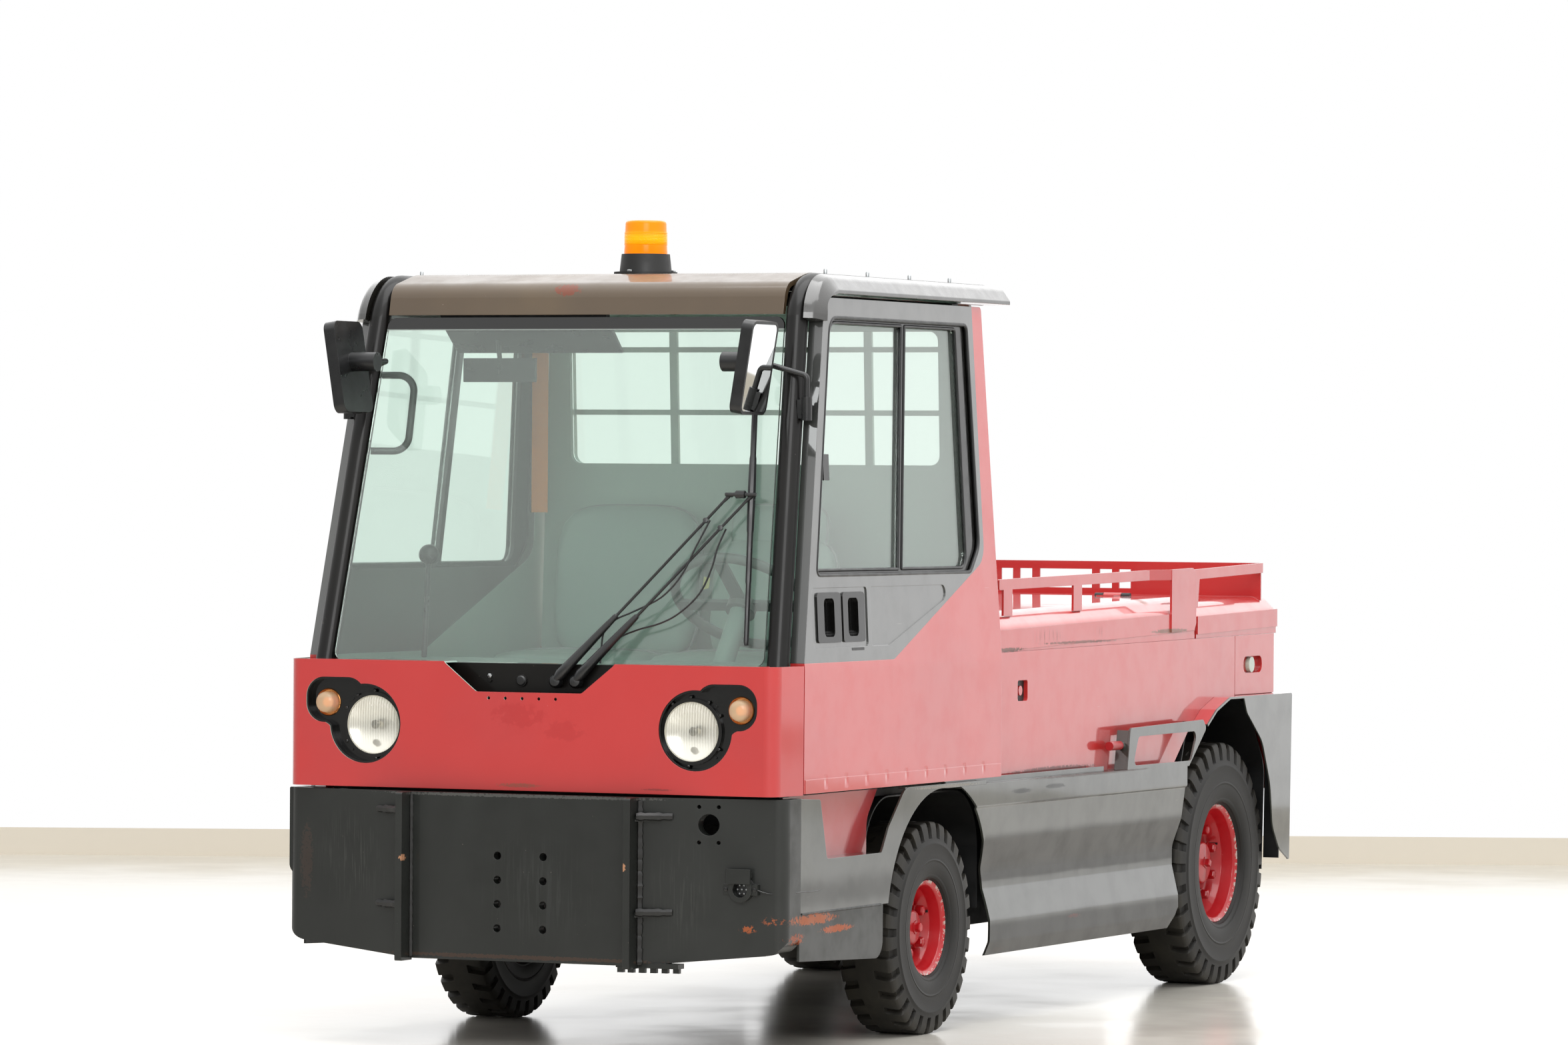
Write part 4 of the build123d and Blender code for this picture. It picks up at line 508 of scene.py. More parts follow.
cab_glass = clear("green-tinted float glass", "#F1FCF6", 0.0, 1.52, 0.955)
screen_glass = clear("windscreen glass", "#EDFAF3", 0.0, 1.52, 0.94)
# The lamp glass is partly opaque and painted pale white, a painted reflection that makes it look bright
fluted = Finish("fluted lamp glass", "#F4F4EC", 0.06)
fluted.put("Alpha", 0.34)
amber = clear("amber acrylic", "#FF9A08", 0.2, 1.4, 0.3)
smoky = Finish("clear indicator dome", "#D8C4A4", 0.12)
smoky.put("Alpha", 0.55)
marker_glass = clear("greenish marker lens", "#D8E8DA", 0.1, 1.49, 0.3)
red_lens = clear("red acrylic", "#B01018", 0.15, 1.49, 0.3)
# The amber bulb is given a faint glow, which is painted light
amber_bulb_painted_glow = Finish("amber bulb", "#F08A2A", 0.3)
amber_bulb_painted_glow.put("Emission Color", linear("#FF7A20"))
amber_bulb_painted_glow.put("Emission Strength", 0.35)
bulb_glass = Finish("frosted bulb", "#B8B09A", 0.2)
# The lamp glass is pressed with upright flutes 7 mm apart, in its upper half only. Their light and dark
# stripes are painted into the glass's colour as painted reflection, and the bump gives them relief.
fluted_x, _, fluted_z = fluted.axes()
ridge = fluted.times(fluted.maths("PINGPONG", fluted_x, 0.0035), 285.0)
flutes = fluted.times(ridge, fluted.step(fluted_z, 0.735, 0.80))
fluted.put("Base Color", fluted.mix(flutes, "#FAFAF2", "#77776C"))
fluted.put("Normal", fluted.bump(flutes, 1.6))
# A black border is fired onto the windscreen's top edge, where it is bonded to the roof
border = screen_glass.step(screen_glass.axes()[2], 1.766, 1.772)
screen_glass.put("Base Color", screen_glass.mix(border, "#EDFAF3", "#0B0B09"))
screen_glass.put("Transmission Weight", screen_glass.step(border, 0.0, 1.0, 0.94, 0.0))
cab_glass.dress("door_glass", "rear_window")
screen_glass.dress("windscreen")
red_lens.dress("tail_lamps")
amber.dress("beacon_lens", "indicators")
marker_glass.dress("marker_lamps", "headlamps")

# %% [markdown]
# ## Turned, swept and cut forms
# Small hardware comes from three workshop forms. A turned form spins a profile about its own axis,
# so six sides give a hexagon nut and forty a lens. A swept form draws a bar along a path. A sheet
# form is an outline with a thickness. Copies of one form share one mesh, which rides on its body.

# %% Mesh forms


def plain_mesh(name, points, faces, finish, smooth=False):
    """Mesh object from points and faces."""
    mesh = bpy.data.meshes.new(name)
    mesh.from_pydata([tuple(p) for p in points], [], faces)
    mesh.update()
    mesh.materials.append(finish.material)
    if smooth:
        mesh.polygons.foreach_set("use_smooth", [True] * len(mesh.polygons))
        mesh.set_sharp_from_angle(angle=radians(38))
    obj = bpy.data.objects.new(name, mesh)
    bpy.context.scene.collection.objects.link(obj)
    return obj


def lattice(rows, count, closed=False):
    """Faces between neighbouring rows of count points each, every row a ring."""
    faces = []
    for i in range(rows if closed else rows - 1):
        n = (i + 1) % rows
        for k in range(count):
            m = (k + 1) % count
            faces.append((i * count + k, i * count + m, n * count + m, n * count + k))
    return faces


def turned_over(faces):
    """The same faces seen from the other side, each from the same first corner."""
    return [(face[0], *reversed(face[1:])) for face in faces]


def turned(profile, count):
    """Profile rows of radius and height, from the foot up the outside, turned about +Z."""
    points = [(r * cos(2 * pi * i / count), r * sin(2 * pi * i / count), h)
              for r, h in profile for i in range(count)]
    lid = tuple((len(profile) - 1) * count + i for i in range(count))
    return points, lattice(len(profile), count) + [lid]


def swept(path, radii, sides=8, closed=False):
    """Round bar along a path, with one radius or one for each point."""
    path = [Vector(p) for p in path]
    count = len(path)
    radii = list(radii) if isinstance(radii, (list, tuple)) else [radii] * count
    points, side = [], None
    for i, p in enumerate(path):
        before = path[i - 1] if i or closed else p
        after = path[(i + 1) % count] if i + 1 < count or closed else p
        run = (after - before).normalized()
        side = run.orthogonal().normalized() if side is None else (side - run * side.dot(run)).normalized()
        up = run.cross(side)
        for k in range(sides):
            points.append(p + (side * cos(2 * pi * k / sides) + up * sin(2 * pi * k / sides)) * radii[i])
    faces = lattice(count, sides, closed)
    if not closed:
        faces += [tuple(reversed(range(sides))), tuple((count - 1) * sides + k for k in range(sides))]
    return points, faces


def sheet(outline, thickness):
    """Outline of x and y rows, thickened along +Z."""
    count = len(outline)
    points = [(x, y, 0) for x, y in outline] + [(x, y, thickness) for x, y in outline]
    faces = [tuple(reversed(range(count))), tuple(range(count, 2 * count))]
    faces += [(i, (i + 1) % count, count + (i + 1) % count, count + i) for i in range(count)]
    return points, faces


def rounded(rows, steps):
    """Closed outline with its corners turned as arcs; rows are first, second coordinate and radius."""
    points = []
    for i, (a, b, r) in enumerate(rows):
        here = Vector((a, b))
        back = (Vector(rows[i - 1][:2]) - here).normalized()
        ahead = (Vector(rows[(i + 1) % len(rows)][:2]) - here).normalized()
        run = r / max(abs(tan(back.angle(ahead) / 2)), 0.2)
        for k in range(steps + 1):
            t = k / steps
            p = (here + back * run) * (1 - t) ** 2 + here * 2 * t * (1 - t) + (here + ahead * run) * t ** 2
            points.append((p.x, p.y))
    return points


def box_outline(half_x, half_y, corner, steps=3):
    """Outline of a flat box with rounded corners."""
    return rounded([(x * half_x, y * half_y, corner) for x, y in ((-1, -1), (1, -1), (1, 1), (-1, 1))], steps)


def curve(stations, steps=5):
    """Smooth path through stations."""
    stations = [Vector(s) for s in stations]
    path = []
    for i in range(len(stations) - 1):
        p0, p1 = stations[max(i - 1, 0)], stations[i]
        p2, p3 = stations[i + 1], stations[min(i + 2, len(stations) - 1)]
        for k in range(steps):
            t = k / steps
            path.append(0.5 * (2 * p1 + (p2 - p0) * t + (2 * p0 - 5 * p1 + 4 * p2 - p3) * t * t
                               + (3 * p1 - p0 - 3 * p2 + p3) * t ** 3))
    return path + [stations[-1]]


def joined(forms):
    """Several forms as one."""
    points, faces = [], []
    for some_points, some_faces in forms:
        start = len(points)
        points += some_points
        faces += [tuple(start + i for i in face) for face in some_faces]
    return points, faces


# %% [markdown]
# A place is a matrix. A form is fitted at one or more places, as one piece that rides on a body,
# and it may stand for a plain node of the CAD.

# %% Places
FRONT, UP = (0, -1, 0), (0, 0, 1)
HERE = Matrix.Identity(4)


def at(x, y, z):
    """Place at a point, not turned."""
    return Matrix.Translation((x, y, z))


def facing(centre, direction, spin=0.0):
    """Place whose +Z points along direction."""
    turn = Vector(direction).to_track_quat("Z", "Y").to_matrix().to_4x4()
    return Matrix.Translation(centre) @ turn @ Matrix.Rotation(radians(spin), 4, "Z")


def mirrored(centre, direction):
    """A place and its mirror image in x, for forms that are round."""
    return [facing((side * centre[0], *centre[1:]), (side * direction[0], *direction[1:]))
            for side, _ in SIDES]


def upright(side, centre):
    """Place for a sheet that stands along the tractor and faces outwards."""
    return Matrix.Translation(centre) @ Matrix(((0, 0, side), (1, 0, 0), (0, 1, 0))).to_4x4()


def fit(name, form, finish, body="chassis", places=(HERE,), smooth=True, hides=()):
    """Copies of a form at the places given, as one piece that rides on a body."""
    points, faces = joined([([where @ Vector(p) for p in form[0]], form[1]) for where in places])
    obj = plain_mesh(name, points, faces, finish, smooth)
    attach(obj, body)
    if hides:
        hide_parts(*hides)
    print(f"{name}: {len(places)} x {len(form[1])} faces on {body}")
    return obj


# %% [markdown]
# ## Headlamps
# Each lamp is a shallow mirror bowl with a bulb on its axis and a second, smaller bulb below it, a pressed
# glass in front and a pale rim round the glass. The mirror throws back the pale hall, so the lamps look
# bright although they are off; the glass adds painted reflection, pale and striped across its flutes.

# %% Lamps in the front panel
lamp_x, lamp_z = 0.433, 0.790
lamp_face = panel_y + 0.019
glass_radius = 0.0708
lamp_places = mirrored((lamp_x, lamp_face, lamp_z), FRONT)
bowl = [(0.0712 * (1 - t) + 0.006 * t, -0.021 * (1 - (1 - t) ** 2)) for t in [i / 12 for i in range(13)]]
fit("headlamp_reflectors", turned(bowl, 56), aluminised, places=lamp_places)
glass_profile = [(glass_radius, -0.001), (glass_radius, 0.002)]
glass_profile += [(glass_radius * cos(radians(a)), 0.002 + 0.010 * sin(radians(a)))
                  for a in range(10, 90, 10)]
fit("headlamp_glasses", turned(glass_profile + [(0.0005, 0.012)], 56), fluted, places=lamp_places,
    hides=("headlamps",))
ring_points, ring_faces = turned([
    (0.0712, -0.003), (0.0765, -0.002), (0.0775, 0.001), (0.0765, 0.0045), (0.0742, 0.006), (0.0716, 0.0045),
    (glass_radius, 0.001)], 56)
fit("headlamp_rims", (ring_points, ring_faces[:-1]), warm_lamp, places=lamp_places)
bulb = [(0.0001, -0.019), (0.0075, -0.018), (0.0075, -0.008), (0.006, -0.0045), (0.003, -0.0025),
        (0.0003, -0.002)]
fit("headlamp_bulbs", turned(bulb, 16), bulb_glass, places=lamp_places)
cap = [(0.0105, -0.0095), (0.0112, -0.004), (0.008, -0.0012), (0.0003, -0.0005)]
fit("headlamp_bulb_caps", turned(cap, 20), dark_metal, places=lamp_places)
side_bulb = [(0.0001, -0.008), (0.007, -0.007), (0.007, 0.001), (0.0003, 0.004)]
fit("side_light_bulbs", turned(side_bulb, 14), dark_metal,
    places=mirrored((lamp_x, lamp_face + 0.006, lamp_z - 0.044), FRONT))
screw_circle = 0.0845
screws = [facing((side * (lamp_x + screw_circle * cos(radians(a))), panel_y + 0.013,
                  lamp_z + screw_circle * sin(radians(a))), FRONT)
          for side, _ in SIDES for a in (28, 58, 92, 128, 232, 265, 330)]
screw_head = [(0.0001, -0.004), (0.0042, -0.003), (0.0042, 0.0005), (0.0028, 0.002), (0.0003, 0.0023)]
fit("lamp_ring_screws", turned(screw_head, 12), gloss_black, places=screws)

# %% [markdown]
# ## Indicators
# A chromed cup holds a clear dome that points ahead, with an amber bulb inside whose faint glow is painted
# light.

# %% Indicators beside the headlamps
indicator_x, indicator_z = 0.562, 0.843
cup = [(0.0335, -0.002), (0.0338, 0.010), (0.0325, 0.0115), (0.0312, 0.010), (0.030, 0.001), (0.0003, -0.001)]
fit("indicator_cups", turned(cup, 36), amber_chrome,
    places=mirrored((indicator_x, panel_y + 0.030, indicator_z), FRONT))
dome = [(0.0265, -0.004), (0.0262, 0.016), (0.0250, 0.025), (0.021, 0.0305), (0.012, 0.0335), (0.0003, 0.034)]
dome_places = mirrored((indicator_x, panel_y + 0.027, indicator_z), (0.04, -1, 0))
fit("indicator_domes", turned(dome, 36), smoky, places=dome_places, hides=("indicators",))
core = [(0.0001, 0.000), (0.012, 0.001), (0.0125, 0.012), (0.009, 0.0185), (0.0003, 0.021)]
fit("indicator_bulbs", turned(core, 20), amber_bulb_painted_glow, places=dome_places)

# %% [markdown]
# ## Warning beacon
# The amber lens has a plain shoulder, a band of fine ribs at mid height and upright prisms below. A pale bulb
# sits inside; the lens's glow, brightest in the ribbed band, is painted light. Three screws hold the flange
# to the roof.

# %% Beacon lens, bulb and flange screws
beacon_y = FA - 0.350
lens_foot = 1.9675
rib_pitch = 0.0035
lens_rows = [(0.0545, 0.0), (0.0548, 0.004)]
for i in range(9):
    z = 0.022 + i * rib_pitch
    lens_rows += [(0.0535, z), (0.0552 - i * 0.00008, z + rib_pitch / 2)]
lens_rows += [(0.0528, 0.056), (0.0520, 0.076), (0.0505, 0.0805), (0.046, 0.0835), (0.030, 0.0838),
              (0.0003, 0.0838)]
lens_place = [at(0, beacon_y, lens_foot)]
fit("beacon_lens_ribbed", turned(lens_rows, 72), amber, places=lens_place, hides=("beacon_lens",))
beacon_bulb = [(0.0001, 0.004), (0.016, 0.005), (0.017, 0.040), (0.011, 0.056), (0.0003, 0.060)]
fit("beacon_bulb", turned(beacon_bulb, 24), bulb_glass, places=lens_place)
flange_circle = 0.070
flange_screws = [
    facing((flange_circle * cos(radians(a)), beacon_y + flange_circle * sin(radians(a)), 1.9215), UP)
    for a in (20, 140, 260)]
hex_head = [(0.0001, 0.0), (0.0066, 0.0), (0.0066, 0.004), (0.0058, 0.005), (0.0003, 0.0052)]
fit("beacon_flange_screws", turned(hex_head, 6), zinc, places=flange_screws, smooth=False)
# The lens glows as painted light, brightest in its ribbed band and darker near its foot
band = amber.within(amber.axes()[2], lens_foot + 0.026, lens_foot + 0.050, 0.010)
painted_glow = amber.mix(band, "#F58800", "#FFB818")
amber.put("Base Color", painted_glow)
amber.put("Emission Color", painted_glow)
amber.put("Emission Strength", 0.4)
amber.put("Specular IOR Level", 0.15)

# %% [markdown]
# ## Wiper
# Two arms run side by side from capped pivots in the cowl to a short bridge, which carries an
# upright blade. The lower part of an arm is a wide pressed channel that tapers into a thin rod. Two
# washer hoses hang from clips on the arms in slack bows.

# %% Wiper arms, blade and hoses


def off_screen(x, z, off):
    """Point off metres in front of the windscreen's outer face."""
    return Vector((x, FA - 0.897 + (z - 0.982) * 0.2398 - off, z))


def between(start, end, share, off):
    """Point on the way between two x and z places on the screen, held off the glass."""
    return off_screen(start[0] + (end[0] - start[0]) * share, start[1] + (end[1] - start[1]) * share, off)


arm_rows = (
    # share of the way up, radius, distance off the glass
    (0.0, 0.011, 0.052), (0.03, 0.0145, 0.056), (0.08, 0.013, 0.055), (0.30, 0.0085, 0.046),
    (0.345, 0.007, 0.044), (0.35, 0.0038, 0.043), (0.6, 0.0036, 0.037), (0.96, 0.0036, 0.030),
    (1.0, 0.0055, 0.028))
arm_radii = [r for _, r, _ in arm_rows]
arms = (((0.060, 0.910), (0.461, 1.362)), ((0.114, 0.910), (0.520, 1.362)))
wiper_forms = [swept([between(*arm, share, off) for share, _, off in arm_rows], arm_radii, 10)
               for arm in arms]
wiper_forms += [swept([off_screen(*end, 0.034), off_screen(*end, 0.016)], 0.0055, 10) for _, end in arms]
bridge_z = 1.364
bridge_rows = (
    # x, distance off the glass, radius
    (0.452, 0.034, 0.0045), (0.480, 0.035, 0.0045), (0.481, 0.035, 0.0095), (0.505, 0.035, 0.0095),
    (0.506, 0.035, 0.0045), (0.534, 0.034, 0.0045))
wiper_forms.append(swept([off_screen(x, bridge_z, off) for x, off, _ in bridge_rows],
                         [r for _, _, r in bridge_rows]))
blade = ((0.541, 0.999), (0.486, 1.728))
blade_rows = (
    # share of the way up, radius
    (0.0, 0.004), (0.01, 0.0062), (0.2, 0.0062), (0.21, 0.0078), (0.37, 0.0078), (0.38, 0.0092),
    (0.5, 0.0105), (0.62, 0.0092), (0.63, 0.0078), (0.8, 0.0078), (0.81, 0.0062), (0.99, 0.0062),
    (1.0, 0.004))
wiper_forms.append(swept([between(*blade, share, 0.015) for share, _ in blade_rows],
                         [r for _, r in blade_rows]))
wiper_forms.append(swept([between(*blade, share, 0.0045) for share in (0.0, 1.0)], 0.0028, 6))
fit("wiper_arms_and_blade", joined(wiper_forms), plastic, hides=("wiper",))
clips = [facing(between(*arms[n], share, off), (0.3, -1, 0.2))
         for n, share, off in ((0, 0.863, 0.033), (1, 0.823, 0.034), (0, 0.30, 0.046), (1, 0.27, 0.047))]
fit("wiper_clips", turned([(0.006, -0.007), (0.0065, 0.006), (0.0003, 0.0066)], 10), plastic, places=clips)
hoses = (
    # x and z of the places that a hose passes, from its clip to the cowl
    ((0.421, 1.301), (0.391, 1.236), (0.360, 1.166), (0.312, 1.112), (0.240, 1.076), (0.197, 1.057),
     (0.170, 1.030), (0.166, 0.992), (0.168, 0.950)),
    ((0.461, 1.280), (0.444, 1.236), (0.433, 1.182), (0.408, 1.122), (0.359, 1.074), (0.311, 1.049),
     (0.255, 1.033), (0.200, 1.010), (0.150, 0.968)))
for number, (hose, off) in enumerate(zip(hoses, (0.040, 0.028)), 1):
    fit(f"washer_hose_{number}", swept(curve([off_screen(x, z, off) for x, z in hose]), 0.0024, 6), seal)
cowl_y = panel_y + 0.055
pivot_cap = [(0.013, -0.02), (0.0165, -0.004), (0.0165, 0.010), (0.012, 0.017), (0.0003, 0.019)]
fit("wiper_pivot_caps", turned(pivot_cap, 20), plastic,
    places=[facing((x, cowl_y - 0.016, 0.904), (0.2, -1, 0.1)) for x in (0.056, 0.110)])
fit("cowl_button", turned([(0.014, -0.004), (0.014, 0.003), (0.010, 0.007), (0.0003, 0.008)], 20), plastic,
    places=[facing((-0.046, cowl_y - 0.001, 0.904), FRONT)])
fit("cowl_stud", turned([(0.006, -0.004), (0.006, 0.004), (0.0003, 0.0055)], 6), zinc,
    places=[facing((-0.132, cowl_y - 0.001, 0.915), FRONT)], smooth=False)

# %% [markdown]
# ## Tread
# The moulded tread has deep lugs that wrap over both shoulders, half a pitch apart, with a plain
# rib between them. A raised ring on the sidewall marks where the shoulder begins. These tyres stand
# for the plain ones, inside the same radius and width.

# %% Tyres with moulded lugs


def lugged(axle_y, radius, rim_radius, middle, width, lugs):
    """Tyre turned about its axle, with grooves cut into both shoulders."""
    wall = radius - rim_radius
    side_rows = [
        # share of half width, radius, depth of groove towards the axle, depth of groove along the axle
        (0.62, rim_radius + 0.001, 0, 0), (0.84, rim_radius + 0.008, 0, 0), (0.95, rim_radius + 0.022, 0, 0),
        (0.99, rim_radius + 0.30 * wall, 0, 0), (1.0, rim_radius + 0.45 * wall, 0, 0),
        (0.985, rim_radius + 0.61 * wall, 0, 0), (1.0, rim_radius + 0.630 * wall, 0, 0),
        (1.0, rim_radius + 0.645 * wall, 0, 0), (0.975, rim_radius + 0.665 * wall, 0, 0),
        (0.965, rim_radius + 0.72 * wall, 0, 0), (0.955, rim_radius + 0.745 * wall, 0, 0.008),
        (0.925, radius - 0.020, 0.006, 0.010), (0.885, radius - 0.006, 0.011, 0.006),
        (0.84, radius - 0.001, 0.014, 0), (0.80, radius, 0.014, 0), (0.55, radius, 0.014, 0),
        (0.34, radius, 0.013, 0), (0.31, radius, 0, 0),
    ]
    rows = [(1, *row) for row in side_rows] + [(-1, *row) for row in reversed(side_rows)]
    # Where a pitch has its points, and which of them lie in the groove
    marks = ((0.0, 0), (0.30, 0), (0.585, 0), (0.625, 1), (0.80, 1), (0.965, 1))
    count = lugs * len(marks)
    points = []
    for side, share, r, deep, across in rows:
        for k in range(count):
            mark, groove = marks[k % len(marks)]
            turn = k // len(marks) + mark + (0.5 if side > 0 else 0.0) + 0.22 * share
            angle = 2 * pi * turn / lugs
            reach = r - deep * groove
            points.append((middle + side * (share * width / 2 - across * groove), axle_y + reach * cos(angle),
                           radius + reach * sin(angle)))
    return points, turned_over(lattice(len(rows), count))


for name, row in WHEELS.items():
    form = lugged(*row)
    mirror = ([(-x, y, z) for x, y, z in form[0]], [tuple(reversed(face)) for face in form[1]])
    for word, shape in (("left", form), ("right", mirror)):
        fit(f"lugged_tyre_{name}_{word}", shape, tyre_rubbers[name], f"wheel_{name}_{word}",
            hides=(f"tyre_{name}_{word}",))

# %% [markdown]
# ## Wheel nuts
# The front wheels have five studs with nuts and the rear ones eight, round a square-headed grease
# plug in the middle. They turn with their wheels.

# %% Nuts and hub plugs
nut = [(0.0165, -0.004), (0.0165, 0.0015), (0.0132, 0.002), (0.0132, 0.018), (0.0118, 0.0215),
       (0.0080, 0.0235), (0.0003, 0.0245)]
plug = [(0.018, -0.006), (0.018, 0.002), (0.012, 0.0025), (0.012, 0.014), (0.0105, 0.0155), (0.0003, 0.016)]
hub_rows = (
    # name, nut face and hub face outside the tyre's middle, studs, stud circle's radius, sides of the plug
    ("front", 0.0062, 0.0296, 5, 0.068, 6),
    ("rear", 0.0072, 0.0342, 8, 0.098, 4),
)
for name, nut_out, hub_out, studs, circle, plug_sides in hub_rows:
    y, z, _, middle = WHEELS[name][:4]
    nut_x, paint = middle + nut_out, rim_paints[name]
    for side, word in SIDES:
        body = f"wheel_{name}_{word}"
        angles = [2 * pi * (i + 0.5) / studs for i in range(studs)]
        places = [facing((side * nut_x, y + circle * cos(a), z + circle * sin(a)), (side, 0, 0), 17)
                  for a in angles]
        fit(f"wheel_nuts_{name}_{word}", turned(nut, 6), paint, body, places, smooth=False)
        fit(f"hub_plug_{name}_{word}", turned(plug, plug_sides), paint, body,
            [facing((side * (middle + hub_out), y, z), (side, 0, 0), 20)], smooth=False)
        valve = [(side * (nut_x + out), y + r * cos(0.4), z + r * sin(0.4))
                 for out, r in ((-0.004, circle + 0.022), (0.020, circle + 0.026))]
        fit(f"tyre_valve_{name}_{word}", swept(valve, (0.0042, 0.0032)), seal, body)

# %% [markdown]
# ## Bumper hardware
# Each rib is welded on with a rippled bead along both feet, and the flank is joined to the wing by one long
# bead. The rib and gusset beads are near-black, and thick on the ribs' outer feet, partly as weld and partly
# as painted shade along the ribs' sides. The power socket has seven contacts in a black insert and two screws
# in its ears.
# A wire as thin as a finger-nail leaves it for the wing.

# %% Weld beads


def bead(start, end, radius, ripple):
    """Welded seam from start to end, whose girth swells once in each ripple."""
    start, end = Vector(start), Vector(end)
    count = max(8, int((end - start).length / (ripple / 2)))
    path = [start.lerp(end, i / count) for i in range(count + 1)]
    swell = [1.0 + 0.18 * (i % 2) + 0.10 * sin(i * 1.7) + 0.07 * sin(i * 0.53) for i in range(count + 1)]
    return swept(path, [radius * s for s in swell], 6)


bow_slope = 0.072 / (door_half - rib_x)
# Near-black rib and gusset beads: weld, and painted shade along the ribs' sides
for side, word in SIDES:
    for edge, x, girth in (("inner", rib_x - 0.001, 0.0060), ("outer", rib_x + 0.019, 0.0100)):
        y = bumper_y + max(0.0, x - rib_x) * bow_slope - 0.001
        seam = bead((side * x, y, 0.226), (side * x, y, 0.622), girth, 0.014)
        fit(f"rib_weld_{edge}_{word}", seam, weld_black_and_shade)
    for z in (0.347, 0.579):
        seam = bead((side * (rib_x + 0.021), bumper_y - 0.020, z + 0.006),
                    (side * (rib_x + 0.100), bumper_y + 0.020, z + 0.006), 0.0085, 0.030)
        fit(f"gusset_weld_{word}_{int(z * 1000)}", seam, weld_black_and_shade)
    flank_x = side * (door_half - 0.0005)
    seam = bead((flank_x, FA - 0.872, 0.350), (flank_x, FA - 0.392, 0.350), 0.003, 0.005)
    fit(f"flank_weld_{word}", seam, bumper)

# %% Power socket and its wire
socket_x, socket_z = 0.571, 0.413
socket_y = bumper_y + (socket_x - rib_x) * bow_slope


def on_socket(right, back, up):
    """Place at an offset from the middle of the socket."""
    return facing((socket_x + right, socket_y + back, socket_z + up), FRONT)


fit("socket_insert", turned([(0.0185, -0.004), (0.0185, 0.0), (0.0003, 0.0005)], 24), plastic,
    places=[on_socket(0, 0.006, 0)])
contacts = [(0, 0)] + [(0.0115 * cos(radians(a)), 0.0115 * sin(radians(a))) for a in range(0, 360, 60)]
fit("socket_contacts", turned([(0.0021, -0.003), (0.0021, 0.006), (0.0003, 0.0062)], 8), zinc,
    places=[on_socket(right, 0.005, up) for right, up in contacts])
fit("socket_ear_screws", turned([(0.005, -0.003), (0.005, 0.002), (0.0003, 0.0035)], 10), gloss_black,
    places=[on_socket(right, -0.010, 0) for right in (-0.038, 0.038)])
wire = curve([(0.615, socket_y - 0.006, 0.412), (0.640, socket_y + 0.008, 0.404), (0.668, FA - 0.93, 0.402),
              (0.6790, FA - 0.88, 0.404), (0.6785, FA - 0.80, 0.402), (0.6775, FA - 0.76, 0.404)])
fit("socket_wire", swept([(min(p.x, 0.6765), p.y, p.z) for p in wire], 0.0016, 6), seal)

# %% [markdown]
# ## Roof studs, door locks and gaskets
# Four headless studs stand along each roof edge for a luggage rack that isn't fitted. The doors'
# pulls have pale lock rings, and black rubber runs round each window pane.

# %% Roof studs
stud = [(0.009, -0.002), (0.009, 0.004), (0.0048, 0.0045), (0.0048, 0.016), (0.0034, 0.0185), (0.0003, 0.019)]
fit("roof_studs", turned(stud, 10), zinc, places=[
    facing((side * 0.560, FA + y, 1.904), UP)
    for side, _ in SIDES for y in (-0.494, -0.235, 0.030, 0.290)])
fit("roof_plugs", turned([(0.012, -0.006), (0.012, 0.003), (0.007, 0.0065), (0.0003, 0.007)], 16), plastic,
    places=mirrored((0.604, FA - 0.60, 1.893), (0.35, 0, 1)))

# %% Door locks, slots painted as shade, and window gaskets
door_front = FA - 0.862
door_rear = door_front + 1.242
glass_bottom, glass_top = 1.180, 1.788


def door_x(z):
    """X of the door's outer face at height z; above the red skin it leans in."""
    return door_half - max(0.0, z - 0.940) * 0.0503


def post_y(z):
    """Y at height z along the door's front post, which leans back with the windscreen pillar."""
    return door_front + 0.053 + (z - 0.956) * 0.2283


panes = {
    # y, z and radius of each corner
    "front": [(post_y(glass_bottom), glass_bottom, 0.012), (post_y(glass_top), glass_top, 0.045),
              (door_front + 0.687, glass_top, 0.003), (door_front + 0.609, glass_bottom, 0.003)],
    "rear": [(door_front + 0.630, glass_bottom, 0.003), (door_front + 0.708, glass_top, 0.003),
             (door_rear - 0.210, glass_top, 0.012), (door_rear - 0.194, glass_bottom, 0.040)],
}
opening = [
    (post_y(glass_bottom) - 0.012, glass_bottom - 0.012, 0.018),
    (post_y(glass_top) - 0.012, glass_top + 0.012, 0.052),
    (door_rear - 0.148, glass_top + 0.012, 0.020), (door_rear - 0.122, glass_bottom + 0.052, 0.060),
    (door_rear - 0.184, glass_bottom - 0.012, 0.030)]
lock_ring = [(0.0105, -0.004), (0.0105, 0.0008), (0.0070, 0.0012), (0.0062, -0.001)]
lock_barrel = [(0.0060, -0.004), (0.0058, 0.0004), (0.0003, 0.0006)]
lock_z, slot_z = 1.065, 0.986
for side, word in SIDES:
    body = f"door_{word}"
    for name, rows in panes.items():
        loop = [(side * (door_x(z) - 0.009), y, z) for y, z in rounded(rows, 5)]
        fit(f"window_gasket_{name}_{word}", swept(loop, 0.0045, closed=True), seal, body)
    loop = [(side * (door_x(z) - 0.003), y, z) for y, z in rounded(opening, 7)]
    fit(f"window_surround_{word}", swept(loop, 0.0052, closed=True), seal, body)
    locks = [facing((side * (door_x(lock_z) - 0.001), door_front + y, lock_z), (side, 0, 0.05))
             for y in (0.207, 0.255)]
    fit(f"lock_rings_{word}", turned(lock_ring, 20), warm_lamp, body, locks)
    fit(f"lock_barrels_{word}", turned(lock_barrel, 14), seal, body, locks)
    # Each door's slot is a thin black sheet on the skin, painted shade of the opening
    fit(f"door_slot_shade_{word}", sheet(box_outline(0.038, 0.0035, 0.003), 0.0006), seal, body,
        [upright(side, (side * (door_x(slot_z) - 0.0002), FA - 0.537, slot_z))], smooth=False)
